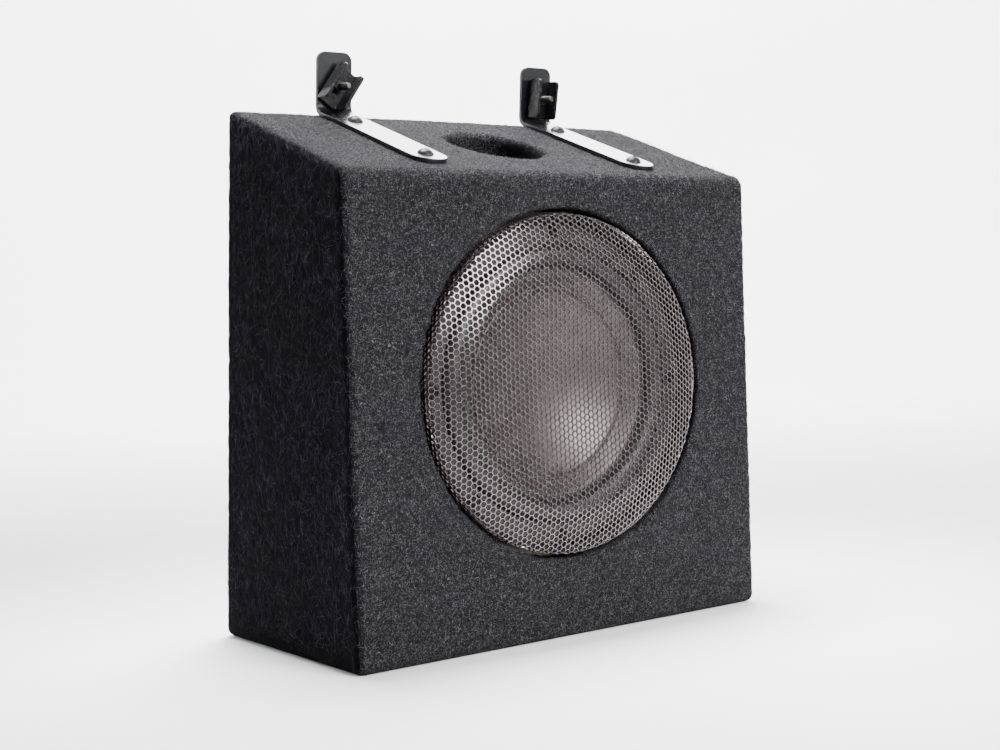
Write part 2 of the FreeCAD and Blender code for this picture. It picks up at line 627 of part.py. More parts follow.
# The bend's outer corner, where the flange's back and the strap's underside would meet.
shift_down = "(bracket_set / cos(top_slope - back_slope))"
inner_forward = "(bracket_set + bracket_gauge)"
inner_down = f"({inner_forward} / cos(top_slope - back_slope) - bracket_gauge * tan(top_slope - back_slope))"


def bracket(sign):
    """One bracket: strap along the top, bend, flange up the line of the back, and its three holes."""
    corner_up = f"(-{shift_down} * sin(top_slope - back_slope))"
    inside_up = (f"(bracket_gauge / cos(top_slope - back_slope)"
                 f" - {inner_forward} * tan(top_slope - back_slope))")
    profile = [
        on_top(f"{shift_down} + {OUTER_SETBACK}"),
        on_top("strap_end"),
        on_top("strap_end", "bracket_gauge"),
        (*on_top(f"{inner_down} + {SETBACK}", "bracket_gauge"), "-bend_inside"),
        on_back(f"{inside_up} + {SETBACK}", inner_forward),
        on_back("flange_rise", inner_forward),
        on_back("flange_rise", "bracket_set"),
        (*on_back(f"{corner_up} + {OUTER_SETBACK}", "bracket_set"), "bend_inside + bracket_gauge"),
    ]
    bar = prism(profile, "bracket_width")
    tip_y, tip_z = [amount_of(part) for part in on_top("strap_end", "bracket_gauge / 2")]
    bar = rounded(bar, "strap_tip", lambda edge: abs(edge.Length - amount_of("bracket_gauge")) < 0.1 and
                  math.hypot(edge.CenterOfMass.y - tip_y, edge.CenterOfMass.z - tip_z) < 0.5)
    head_y, head_z = [amount_of(part) for part in on_back("flange_rise", "bracket_set + bracket_gauge / 2")]
    bar = rounded(bar, "flange_tip", lambda edge: abs(edge.Length - amount_of("bracket_gauge")) < 0.1 and
                  math.hypot(edge.CenterOfMass.y - head_y, edge.CenterOfMass.z - head_z) < 0.5)
    x = f"{sign} * bracket_spread"
    place(bar, x, "0", "0")
    holes = [rod("strap_shank + 0.2", "20", x, *on_top(down, "-8"), OFF_TOP) for down in strap_downs]
    stud_hole = rod("stud_radius + glue_gap", "20", x, *on_back("stud_rise", "-8"), OFF_BACK)
    return cut(bar, *holes, stud_hole)


finish("bracket_left", bracket("-1"))
finish("bracket_right", bracket("1"))


def strap_screw(x, down):
    """A dome-head screw through the strap into the top board."""
    dome_height = "strap_head_rise"
    sphere_radius = f"((strap_head ^ 2 + {dome_height} ^ 2) / (2 * {dome_height}))"
    dome = place(turned([
        ("0", "0"), ("strap_head", "0", f"-{sphere_radius}"), ("0", dome_height),
    ]), x, *on_top(down, "bracket_gauge"), OFF_TOP)
    shank = rod("strap_shank", "strap_screw_length", x,
                *on_top(down, "bracket_gauge - strap_screw_length"), OFF_TOP)
    recess = rod("1.7", "3", x, *on_top(down, "bracket_gauge + strap_head_rise - 1.8"), OFF_TOP)
    return cut(fused(dome, shank), recess)


finish("strap_screws", group(*[strap_screw(x, down) for x, down in strap_screw_places()]))

# ---- clamps ---------------------------------------------------------------------------------------------
FACE = "(bracket_set + bracket_gauge)"


def stud(sign):
    """A stud pressed flush into the flange, its end standing forward."""
    x = f"{sign} * bracket_spread"
    return rod("stud_radius", "stud_reach + bracket_gauge", x, *on_back("stud_rise", "bracket_set"),
               OFF_BACK)


finish("clamp_studs", group(*mirrored_pair(stud)))
finish("clamp_washers", group(*mirrored_pair(lambda sign: tube(
    "washer_radius", "stud_radius + 0.2", "clamp_standoff - glue_gap", f"{sign} * bracket_spread",
    *on_back("stud_rise", FACE), OFF_BACK))))


def clamp(sign, lean):
    """A channel, open to the front, that turns on the stud. Its top leans to the right by lean."""
    half = "clamp_width / 2"
    channel = prism([
        (f"-({half}) + clamp_bend", "0"), (f"{half} - clamp_bend", "0", "-clamp_bend"),
        (half, "clamp_bend"), (half, "clamp_depth"), (f"{half} - clamp_gauge", "clamp_depth"),
        (f"{half} - clamp_gauge", "clamp_gauge"), (f"-({half}) + clamp_gauge", "clamp_gauge"),
        (f"-({half}) + clamp_gauge", "clamp_depth"), (f"-({half})", "clamp_depth"),
        (f"-({half})", "clamp_bend", "-clamp_bend"),
    ], "clamp_length", "XZ_Plane")
    depth = amount_of("clamp_depth")
    channel = rounded(channel, "clamp_tip", lambda edge: abs(edge.Length - amount_of("clamp_gauge")) < 0.1
                      and abs(edge.CenterOfMass.z - depth) < 0.1
                      and abs(abs(edge.CenterOfMass.y) - amount_of("clamp_length") / 2) < 0.1)
    bore = rod("stud_radius + running", "20", "0", "0", "-8")
    bored = cut(channel, bore)
    x = f"{sign} * bracket_spread"
    y, z = on_back("stud_rise", f"{FACE} + clamp_standoff")
    lean_turn = FreeCAD.Rotation(Vector(0, 0, 1), -amount_of(lean))
    tilt = FreeCAD.Rotation(Vector(1, 0, 0), 90 + amount_of("back_slope"))
    bored.Placement = FreeCAD.Placement(Vector(0, 0, 0), tilt.multiply(lean_turn))
    for name, expression in zip("xyz", (x, y, z)):
        bored.setExpression(f"Placement.Base.{name}", bound(expression))
    return bored


finish("clamp_channel_left", clamp("-1", "clamp_turn_left"))
finish("clamp_channel_right", clamp("1", "clamp_turn_right"))


def clamp_nut(sign):
    """A collared hexagon nut that holds the channel."""
    x = f"{sign} * bracket_spread"
    start = f"{FACE} + clamp_standoff + clamp_gauge + glue_gap"
    collar = rod("nut_collar", "nut_collar_gauge", x, *on_back("stud_rise", start), OFF_BACK)
    hexagon = doc.addObject("Part::Prism", "hexagon")
    hexagon.Polygon = 6
    hexagon.setExpression("Circumradius", bound("nut_flat / 2 / cos(30)"))
    hexagon.setExpression("Height", bound("nut_gauge"))
    place(hexagon, x, *on_back("stud_rise", f"{start} + nut_collar_gauge"), OFF_BACK)
    bore = rod("stud_radius + glue_gap", "20", x, *on_back("stud_rise", start), OFF_BACK)
    return cut(fused(collar, hexagon), bore)


finish("clamp_nuts", group(*mirrored_pair(clamp_nut)))

# ---- amplifier ------------------------------------------------------------------------------------------
PLATE_BACK_X = f"({LEDGE} + amp_gasket)"
PLATE_FACE_X = f"({LEDGE} + amp_gasket + amp_plate_gauge)"


def across(offset):
    """Y of a place on the amplifier's plate."""
    return f"(amp_y + ({offset}))"


def along(offset):
    """Z of a place on the amplifier's plate."""
    return f"(amp_z + ({offset}))"


def through_plate(radius, at, row):
    """A round hole through the plate."""
    return rod(radius, "2 * amp_board_back", f"({PLATE_FACE_X} - amp_board_back)", across(at), along(row),
               RIGHTWARDS)


def slot_through_plate(width, height, at, row):
    """A rectangular hole through the plate."""
    return block_about("2 * amp_board_back", width, height, PLATE_FACE_X, across(at), along(row))


gasket_outer = block_about("amp_gasket", "amp_plate_width", "amp_plate_height",
                           f"({LEDGE} + amp_gasket / 2)", "amp_y", "amp_z")
gasket_window = block_about("2 * side_board", "amp_window_width", "amp_window_height", SIDE_FACE,
                            "amp_y", "amp_z")
plate_screw_holes = group(*[
    rod("plate_screw_shank + 0.5", "4 * side_board", f"({SIDE_FACE} - 3 * side_board)", y, z, RIGHTWARDS)
    for y, z in plate_screw_places()])
finish("amp_gasket", cut(gasket_outer, gasket_window, plate_screw_holes))

plate = block_about("amp_plate_gauge", "amp_plate_width", "amp_plate_height",
                    f"({PLATE_FACE_X} - amp_plate_gauge / 2)", "amp_y", "amp_z")
fins = []
for number in range(round(amount_of("fin_count"))):
    fin_at = f"({number} - (fin_count - 1) / 2) * fin_pitch"
    fins.append(box("fin_rise + amp_plate_gauge / 2", "fin_gauge", "fin_length",
                    f"({PLATE_FACE_X} - amp_plate_gauge / 2)", f"{across(fin_at)} - fin_gauge / 2",
                    f"{along('fin_middle')} - fin_length / 2"))
finish("amp_plate", cut(
    fused(plate, *fins), plate_screw_holes,
    slot_through_plate("switch_width + 1", "switch_size + phase_travel + 1", "phase_at", "knob_row"),
    slot_through_plate("remote_width + 2 * clearance", "socket_height + 2 * clearance",
                       "remote_at", "jack_row"),
    slot_through_plate("high_level_width + 2 * clearance", "socket_height + 2 * clearance",
                       "high_level_at", "jack_row"),
    slot_through_plate("power_width + 2 * clearance", "power_height + 2 * clearance",
                       "power_at", "power_row"),
    slot_through_plate("fuse_holder_width + 2 * clearance", "fuse_holder_height + 2 * clearance",
                       "fuse_at", "power_row"),
    through_plate("knob_shaft + running", "gain_knob_at", "knob_row"),
    through_plate("knob_shaft + running", "crossover_knob_at", "knob_row"),
    through_plate("light_radius + clearance", "light_at", "knob_row"),
    through_plate("jack_radius + jack_collar + clearance", "jack_left_at", "jack_row"),
    through_plate("jack_radius + jack_collar + clearance", "jack_right_at", "jack_row")))


def plate_screw(y, z):
    """A low-headed screw that holds the plate."""
    head = cone_rod("plate_screw_radius", "plate_screw_radius - 0.8", "plate_screw_head", PLATE_FACE_X, y, z,
                    RIGHTWARDS)
    shank = rod("plate_screw_shank", "plate_screw_length", f"({PLATE_FACE_X} - plate_screw_length)", y, z,
                RIGHTWARDS)
    recess = rod("drive_radius", "plate_screw_head", f"({PLATE_FACE_X} + plate_screw_head / 2)", y, z,
                 RIGHTWARDS)
    return cut(fused(head, shank), recess)


finish("plate_screws", group(*[plate_screw(y, z) for y, z in plate_screw_places()]))

COVER_BACK = f"({PLATE_BACK_X} - amp_cover_depth)"
cover_outer = block_about("amp_cover_depth", "amp_cover_width", "amp_cover_height",
                          f"({PLATE_BACK_X} - amp_cover_depth / 2)", "amp_y", "amp_z")
cover_inner = block_about("amp_cover_depth", "amp_cover_width - 2 * amp_cover_wall",
                          "amp_cover_height - 2 * amp_cover_wall",
                          f"({PLATE_BACK_X} - amp_cover_depth / 2 + amp_cover_wall)", "amp_y", "amp_z")
wire_exit = rod("wire_radius + wire_spread + 0.6", "10 * amp_cover_wall", f"({COVER_BACK} - amp_cover_wall)",
                across("wire_at"), along("wire_row"), RIGHTWARDS)
finish("amp_cover", cut(cover_outer, cover_inner, wire_exit))

BOARD_FACE = f"({PLATE_BACK_X} - amp_board_back)"
BOARD_BACK = f"({BOARD_FACE} - amp_board_gauge)"
finish("circuit_board", block_about("amp_board_gauge", "amp_board_width", "amp_board_height",
                                    f"({BOARD_FACE} - amp_board_gauge / 2)", "amp_y", "amp_z"))
finish("capacitors", group(*[
    rod("capacitor_radius", "capacitor_length", f"({BOARD_BACK} - capacitor_length)", across(at), along(row),
        RIGHTWARDS) for at in ("-30", "-12") for row in ("-20", "0")]))
finish("toroid_coil", tube("toroid_outer", "toroid_inner", "toroid_height", f"({BOARD_BACK} - toroid_height)",
                           across("20"), along("-45"), RIGHTWARDS))
finish("heat_spreader", block_about("amp_board_back", "spreader_width", "spreader_height",
                                    f"({PLATE_BACK_X} - amp_board_back / 2)", across("spreader_at"),
                                    along("45")))
finish("power_transistors", group(*[
    block_about("transistor_size", "transistor_gauge", "transistor_size",
                f"({BOARD_FACE} + transistor_size / 2)", across("transistor_at"), along(row))
    for row in ("20", "40", "60")]))


def knob(at):
    """A ribbed knob with its shaft, which runs back into the potentiometer."""
    y, z = across(at), along("knob_row")
    lift = f"({PLATE_FACE_X} + knob_lift)"
    body = cone_rod("knob_radius", "knob_radius - 0.8", "knob_height", lift, y, z, RIGHTWARDS)
    pointer = block_about("2", "pointer_width", "knob_radius", f"({lift} + knob_height)", y,
                          f"({z} + knob_radius / 2)")
    grips = []
    for number in range(round(amount_of("grip_count"))):
        angle = f"({number} + 0.5) * 360 / grip_count"
        grips.append(rod("grip_radius", "knob_height", f"({lift} + 1.5)",
                         f"({y} + (knob_radius + 0.1) * sin({angle}))",
                         f"({z} + (knob_radius + 0.1) * cos({angle}))", RIGHTWARDS))
    reach = "(knob_lift + amp_plate_gauge + pot_depth - 0.5)"
    shaft = rod("knob_shaft", reach, f"({lift} - {reach})", y, z, RIGHTWARDS)
    return cut(fused(body, shaft), pointer, group(*grips))


finish("gain_knob", knob("gain_knob_at"))
finish("crossover_knob", knob("crossover_knob_at"))


def potentiometer(at):
    """A square potentiometer on the plate's back, hollow where the knob's shaft turns."""
    case = block_about("pot_depth", "pot_size", "pot_size", f"({PLATE_BACK_X} - pot_depth / 2)",
                       across(at), along("knob_row"))
    return cut(case, through_plate("knob_shaft + running", at, "knob_row"))


finish("potentiometers", group(potentiometer("gain_knob_at"), potentiometer("crossover_knob_at")))

finish("phase_switch", block_about(
    "2 * amp_plate_gauge", "switch_width", "switch_size",
    f"({PLATE_BACK_X} + amp_plate_gauge + 0.1)", across("phase_at"), along("knob_row - phase_travel / 2")))
finish("switch_housing", block_about("housing_depth", "housing_width", "housing_height",
                                     f"({PLATE_BACK_X} - housing_depth / 2)", across("phase_at"),
                                     along("knob_row")))
finish("status_light", fused(
    rod("light_radius", "amp_plate_gauge + light_rise / 2", PLATE_BACK_X, across("light_at"),
        along("knob_row"), RIGHTWARDS),
    rod("light_flange", "light_rise", PLATE_FACE_X, across("light_at"), along("knob_row"), RIGHTWARDS)))


def line_jack(at):
    """A round line input jack: a collar, a barrel that a plug slides over, and a pin hole."""
    y, z = across(at), along("jack_row")
    collar = rod("jack_radius + jack_collar", "amp_plate_gauge + jack_collar", PLATE_BACK_X, y, z, RIGHTWARDS)
    barrel = rod("jack_radius", "jack_reach + amp_plate_gauge", PLATE_BACK_X, y, z, RIGHTWARDS)
    pin_hole = rod("pin_radius", "jack_reach", f"({PLATE_FACE_X} + 1)", y, z, RIGHTWARDS)
    return cut(fused(collar, barrel), pin_hole)


finish("line_jacks", group(line_jack("jack_left_at"), line_jack("jack_right_at")))


def open_socket(width, at):
    """A rectangular socket shell through the plate, open to the right and closed at the back."""
    shell = block_about("socket_depth", width, "socket_height",
                        f"({PLATE_FACE_X} + socket_rise - socket_depth / 2)", across(at), along("jack_row"))
    hollow = block_about("socket_depth", f"{width} - 2 * socket_wall", "socket_height - 2 * socket_wall",
                         f"({PLATE_FACE_X} + socket_rise + socket_wall - socket_depth / 2)", across(at),
                         along("jack_row"))
    return cut(shell, hollow)


finish("remote_socket", open_socket("remote_width", "remote_at"))
finish("high_level_socket", open_socket("high_level_width", "high_level_at"))

# The power block: a supply cable and a ground cable go up into it from below, with a control wire between.
TERMINAL_FOOT = "(power_row - power_height / 2)"
CABLE_X = f"({PLATE_FACE_X} + cable_radius + 0.6)"
SCREW_SIDES = ("-1", "0", "1")


def cable_way(radius, side):
    """A bore up into the power block from below."""
    return rod(radius, "2 * cable_bore", CABLE_X, across(f"power_at + {side} * cable_spread"),
               along(f"{TERMINAL_FOOT} - cable_bore"))


terminal_block = block_about("power_depth + block_root", "power_width", "power_height",
                             f"({PLATE_FACE_X} + (power_depth - block_root) / 2)", across("power_at"),
                             along("power_row"))
finish("power_terminal", cut(terminal_block, cable_way("cable_radius", "-1"), cable_way("cable_radius", "1"),
                             cable_way("control_bore", "0")))
finish("terminal_screws", group(*[
    rod("clamp_screw", "clamp_screw_rise", f"({PLATE_FACE_X} + power_depth)",
        across(f"power_at + {side} * cable_spread"), along("power_row"), RIGHTWARDS)
    for side in SCREW_SIDES]))

fuse_block = block_about("fuse_rise + 6", "fuse_holder_width", "fuse_holder_height",
                         f"({PLATE_FACE_X} + (fuse_rise - 6) / 2)", across("fuse_at"), along("power_row"))
fuse_pocket = block_about("2 * fuse_rise", "fuse_width + 0.6", "fuse_thick + 0.6",
                          f"({PLATE_FACE_X} + fuse_rise)", across("fuse_at"), along("power_row"))
finish("fuse_holder", cut(fuse_block, fuse_pocket))
finish("fuse", box("fuse_rise + 3.5", "fuse_width", "fuse_thick", PLATE_FACE_X,
                   f"{across('fuse_at')} - fuse_width / 2", f"{along('power_row')} - fuse_thick / 2"))

# ---- wires ----------------------------------------------------------------------------------------------
STRIP_BACK = "(strip_y + strip_size / 2)"
strip = block_about("strip_size", "strip_size", "strip_size", "strip_x", "strip_y", along("wire_row"))
finish("terminal_strip", cut(strip, finished["driver_basket"]))


def speaker_wire(side):
    """One wire: from the circuit board out of the cover, round a bend, and forward to the driver's strip."""
    y, z = across("wire_at"), along(f"wire_row + {side} * wire_spread")
    bend_x = "(wire_x + wire_bend)"
    bend_y = f"({y} - wire_bend)"
    out = rod("wire_radius", f"{BOARD_BACK} - {bend_x}", bend_x, y, z, RIGHTWARDS)
    bend = doc.addObject("Part::Torus", "bend")
    bend.setExpression("Radius1", bound("wire_bend"))
    bend.setExpression("Radius2", bound("wire_radius"))
    bend.Angle3 = 90
    place(bend, bend_x, bend_y, z, (Vector(0, 0, 1), "90"))
    ahead = rod("wire_radius", f"{bend_y} - {STRIP_BACK}", "wire_x", bend_y, z, FORWARDS)
    return fused(out, bend, ahead)


finish("speaker_wires", group(*mirrored_pair(speaker_wire)))

# ---- check and write ------------------------------------------------------------------------------------
doc.recompute()
for thing in doc.Objects:
    if "Invalid" in thing.State or "Error" in thing.State:
        raise RuntimeError(f"{thing.Name} ({thing.Label}) failed: {thing.State}")
for label, thing in finished.items():
    if thing.Shape.isNull() or not thing.Shape.isValid() or not thing.Shape.Solids:
        raise RuntimeError(f"{label} has no valid solid")
os.makedirs("parts", exist_ok=True)
for label, thing in finished.items():
    thing.Shape.exportStep(os.path.join("parts", f"{label}.step"))
    print(label, len(thing.Shape.Solids), round(thing.Shape.Volume / 1000, 2))
print("pieces", len(finished))
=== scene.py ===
"""The looks of a powered car subwoofer: a carpeted wedge cabinet, a domed grille of hexagonal holes over a
bass driver, two clamps on bent brackets, and an amplifier let into the right side. Lengths are in metres in
the model's own frame, unless a comment says millimetres."""
import math
import random

import bmesh
import bpy
from mathutils import Matrix, Quaternion, Vector, noise


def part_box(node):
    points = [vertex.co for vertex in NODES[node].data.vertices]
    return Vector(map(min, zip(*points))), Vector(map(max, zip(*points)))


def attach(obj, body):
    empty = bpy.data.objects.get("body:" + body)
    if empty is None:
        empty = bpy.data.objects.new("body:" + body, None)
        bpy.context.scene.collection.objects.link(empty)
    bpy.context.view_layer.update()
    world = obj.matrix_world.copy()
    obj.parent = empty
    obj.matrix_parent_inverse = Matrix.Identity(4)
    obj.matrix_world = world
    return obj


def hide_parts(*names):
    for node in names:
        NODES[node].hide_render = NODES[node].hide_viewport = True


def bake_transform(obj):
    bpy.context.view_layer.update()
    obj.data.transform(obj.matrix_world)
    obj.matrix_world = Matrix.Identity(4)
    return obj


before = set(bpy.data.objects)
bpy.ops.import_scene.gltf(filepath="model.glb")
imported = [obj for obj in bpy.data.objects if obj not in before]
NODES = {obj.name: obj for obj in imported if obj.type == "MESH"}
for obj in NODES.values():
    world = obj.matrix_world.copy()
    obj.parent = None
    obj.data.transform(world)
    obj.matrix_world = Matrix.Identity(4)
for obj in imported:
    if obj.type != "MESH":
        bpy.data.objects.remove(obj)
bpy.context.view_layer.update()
MM = 0.001

# ---- places, worked out from the frame ------------------------------------------------------------------
TOP_SLOPE = math.radians(19.9)
BACK_LEAN = math.radians(5.45)
side_low, side_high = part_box("carpet_left")
ring_low, ring_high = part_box("grille_ring")
plate_low, plate_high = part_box("amp_plate")
HALF_WIDTH = -side_low.x
SEAM_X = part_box("carpet_wrap")[1].x
FRONT_Y, BACK_Y = side_low.y, side_high.y
TOP_Z = side_high.z
EDGE_Y = BACK_Y - TOP_Z * math.tan(BACK_LEAN)
FRONT_TOP_Z = TOP_Z - (EDGE_Y - FRONT_Y) * math.tan(TOP_SLOPE)
AXIS_Z = (ring_low.z + ring_high.z) / 2
PILE = HALF_WIDTH - SEAM_X


def on_driver_axis(radius, angle, height):
    """A point about the driver's axis. Heights count forwards from the cabinet's front."""
    return Vector((radius * math.sin(angle), FRONT_Y - height, AXIS_Z + radius * math.cos(angle)))


def on_top(down, above, x=0.0):
    """A point down the sloping top from its back edge, and above its surface."""
    return Vector((x, EDGE_Y - down * math.cos(TOP_SLOPE) - above * math.sin(TOP_SLOPE),
                   TOP_Z - down * math.sin(TOP_SLOPE) + above * math.cos(TOP_SLOPE)))


# ---- camera ---------------------------------------------------------------------------------------------
def make_camera(place, yaw, dip, roll, lens):
    """A camera that looks along +Y when its angles are 0."""
    data = bpy.data.cameras.new("camera")
    data.lens = lens
    data.sensor_width = 36
    camera = bpy.data.objects.new("camera", data)
    bpy.context.scene.collection.objects.link(camera)
    turn = (Matrix.Rotation(yaw, 3, "Z") @ Matrix.Rotation(math.pi / 2 - dip, 3, "X")
            @ Matrix.Rotation(roll, 3, "Z"))
    camera.matrix_world = Matrix.Translation(Vector(place)) @ turn.to_4x4()
    bpy.context.scene.camera = camera


make_camera((-0.6740, -0.9221, 0.2284), yaw=-0.636, dip=0.0436, roll=-0.0345, lens=56.58)


# ---- materials ------------------------------------------------------------------------------------------
class Shader:
    """A material with a Principled shader, built up by adding nodes."""

    MIX_SOCKETS = (0, 6, 7)     # a Mix node's factor and its two colours
    MIXED_COLOUR = 2

    def __init__(self, name):
        self.material = bpy.data.materials.new(name)
        self.material.use_nodes = True
        self.tree = self.material.node_tree
        self.tree.nodes.clear()
        output = self.tree.nodes.new("ShaderNodeOutputMaterial")
        self.main = self.tree.nodes.new("ShaderNodeBsdfPrincipled")
        self.tree.links.new(self.main.outputs[0], output.inputs[0])
        self.place = self.tree.nodes.new("ShaderNodeTexCoord").outputs["Object"]

    def set(self, **values):
        """Sets the shader's own sockets, their names written with underscores."""
        for name, value in values.items():
            self.main.inputs[name.replace("_", " ")].default_value = value
        return self

    def add(self, kind, links=(), **settings):
        """A node of a kind, with its properties and sockets set and its inputs linked."""
        node = self.tree.nodes.new("ShaderNode" + kind)
        for name, value in settings.items():
            if hasattr(node, name):
                setattr(node, name, value)
            else:
                node.inputs[name.replace("_", " ")].default_value = value
        for name, source in dict(links).items():
            self.tree.links.new(source, node.inputs[name])
        return node

    def stretched(self, x, y, z):
        """The surface's place, scaled along each axis."""
        return self.add("Mapping", {"Vector": self.place}, Scale=(x, y, z)).outputs[0]

    def noise(self, scale, detail, roughness=0.5, at=None):
        """A cloudy pattern from 0 to 1."""
        return self.add("TexNoise", {"Vector": at or self.place}, Scale=scale, Detail=detail,
                        Roughness=roughness).outputs["Fac"]

    def cells(self, scale):
        """Distances from the edges of a pattern of irregular cells."""
        return self.add("TexVoronoi", {"Vector": self.place}, feature="DISTANCE_TO_EDGE",
                        Scale=scale).outputs["Distance"]

    def ramp(self, factor, low, high, start=0.3, stop=0.7):
        """Values or colours between low and high as the factor goes from start to stop."""
        node = self.add("ValToRGB", {"Fac": factor})
        for element, spot, colour in zip(node.color_ramp.elements, (start, stop), (low, high)):
            element.position = spot
            shade = (colour,) * 3 if isinstance(colour, float) else colour
            element.color = (*shade, 1)
        return node.outputs[0]

    def mix(self, factor, first, second, blend="MIX"):
        """Two colours mixed. The factor and each colour may be a value or another node's output."""
        node = self.add("Mix", data_type="RGBA", blend_type=blend)
        for number, source in zip(self.MIX_SOCKETS, (factor, first, second)):
            if isinstance(source, float):
                node.inputs[number].default_value = source
            elif isinstance(source, tuple):
                node.inputs[number].default_value = (*source, 1)
            else:
                self.tree.links.new(source, node.inputs[number])
        return node.outputs[self.MIXED_COLOUR]

    def math(self, operation, first, second):
        """Arithmetic on a value and a number or another value."""
        node = self.add("Math", {0: first}, operation=operation)
        if isinstance(second, float):
            node.inputs[1].default_value = second
        else:
            self.tree.links.new(second, node.inputs[1])
        return node.outputs[0]

    def feed(self, **sources):
        """Links outputs to the shader's sockets."""
        for name, source in sources.items():
            self.tree.links.new(source, self.main.inputs[name.replace("_", " ")])

    def bump(self, height, distance):
        """Relief of a real depth in metres."""
        node = self.add("Bump", {"Height": height}, Distance=distance)
        self.tree.links.new(node.outputs[0], self.main.inputs["Normal"])
        return self


def scaled(colour, amount):
    """A lighter or darker version of a colour."""
    return tuple(min(part * amount, 1.0) for part in colour)


CLOUDS_PER_GRAIN = 12


def plain_finish(name, colour, spread, rough, rough_spread, grain, relief, stretch=None, **values):
    """Paint, plastic, rubber or metal: cloudy colour, uneven gloss and a fine grain. spread is how far the
    colour strays from its middle, grain the number of specks in a metre, relief their depth in mm."""
    shader = Shader(name).set(**values)
    place = shader.stretched(*stretch) if stretch else shader.place
    clouds = shader.noise(grain / CLOUDS_PER_GRAIN, 4, at=place)
    fine = shader.noise(grain, 3, 0.6, at=place)
    both = shader.math("ADD", shader.math("MULTIPLY", clouds, 0.6), shader.math("MULTIPLY", fine, 0.4))
    shader.feed(
        Base_Color=shader.ramp(both, scaled(colour, 1 - spread), scaled(colour, 1 + spread), 0.35, 0.65),
        Roughness=shader.ramp(both, rough - rough_spread, rough + rough_spread, 0.3, 0.7))
    return shader.bump(fine, relief * MM).material


def carpet_finish(name, base, fleck, side_shade):
    """Needle-felt: matted dark fibres with paler flecks. The sides get painted shade: their colour is
    multiplied by a dark tone, so that they look darker.
    """
    shader = Shader(name).set(Roughness=0.95, Specular_IOR_Level=0.03, Sheen_Weight=0.01,
                              Sheen_Roughness=0.5)
    # The patterns' places wander by up to 6 mm, so that the fibres curl.
    wander = shader.add("TexNoise", {"Vector": shader.place}, Scale=160.0, Detail=2.0).outputs["Color"]
    bent = shader.add("VectorMath", {0: wander}, operation="SCALE", Scale=6 * MM).outputs[0]
    curled = shader.add("VectorMath", {0: shader.place, 1: bent}, operation="ADD").outputs[0]
    clouds = shader.noise(24.0, 4)
    matted = shader.noise(480.0, 5, 0.75, at=curled)
    specks = shader.noise(1150.0, 3, 0.65, at=curled)
    ground = shader.mix(shader.ramp(matted, 0.0, 1.0, 0.36, 0.66), scaled(base, 0.35), scaled(base, 1.8))
    ground = shader.mix(shader.ramp(clouds, 0.0, 0.6, 0.35, 0.65), ground, scaled(base, 0.7))
    amount = shader.math("MULTIPLY", shader.ramp(specks, 0.0, 1.0, 0.51, 0.72),
                         shader.ramp(matted, 0.25, 1.0, 0.42, 0.62))
    specked = shader.mix(amount, ground, fleck)
    # Painted shade: faces that turn sideways have their colour multiplied by the dark side tone.
    facing = shader.add("SeparateXYZ", {0: shader.add("NewGeometry").outputs["Normal"]}).outputs[0]
    side_shade_mask = shader.ramp(shader.math("ABSOLUTE", facing, 0.0), 0.0, 1.0, 0.12, 0.8)
    shaded_sides = shader.mix(1.0, specked, side_shade, "MULTIPLY")
    shader.feed(Base_Color=shader.mix(side_shade_mask, specked, shaded_sides))
    relief = shader.math("ADD", matted, shader.math("MULTIPLY", specks, 0.6))
    return shader.bump(relief, 1.5 * MM).material


def fibreboard_finish(name):
    """Pressed fibreboard: tan, with short darker fibres."""
    shader = Shader(name).set(Roughness=0.8)
    fibres = shader.noise(900.0, 5, 0.7, at=shader.stretched(1, 1, 0.25))
    shader.feed(Base_Color=shader.ramp(fibres, (0.30, 0.21, 0.12), (0.58, 0.45, 0.30), 0.3, 0.7))
    return shader.bump(fibres, 0.15 * MM).material


def circuit_finish(name):
    """A circuit board: green lacquer over a fine net of tracks."""
    shader = Shader(name).set(Roughness=0.35)
    tracks = shader.ramp(shader.cells(160.0), 1.0, 0.0, 0.03, 0.06)
    shader.feed(Base_Color=shader.mix(tracks, (0.012, 0.10, 0.035), (0.03, 0.22, 0.08)))
    return shader.bump(tracks, 0.04 * MM).material


def winding_finish(name, colour):
    """Wire wound side by side."""
    shader = Shader(name).set(Metallic=0.9, Roughness=0.3)
    turns = shader.add("TexWave", {"Vector": shader.place}, wave_type="BANDS", bands_direction="Y",
                       Scale=520.0, Distortion=1.5, Detail=1.0).outputs["Fac"]
    shader.feed(Base_Color=shader.ramp(turns, scaled(colour, 0.5), colour, 0.2, 0.8))
    return shader.bump(turns, 0.1 * MM).material


def floor_finish(name):
    """A pale, slightly uneven studio floor."""
    shader = Shader(name).set(Roughness=0.7, Specular_IOR_Level=0.2)
    shader.feed(Base_Color=shader.ramp(shader.noise(3.0, 4), (0.9, 0.9, 0.9), (0.94, 0.94, 0.94)))
    return shader.material


# Each plain finish: name, colour, its spread, roughness, its spread, grain and relief.
CARPET = carpet_finish("carpet", base=(0.0078, 0.0075, 0.0085), fleck=(0.15, 0.146, 0.155),
                       # The side tone is painted shade that darkens the cabinet's left and right sides.
                       side_shade=(0.05, 0.05, 0.09))
FIBRE = plain_finish("carpet_fibre", (0.095, 0.092, 0.097), 0.6, 0.9, 0.05, 300, 0.01)
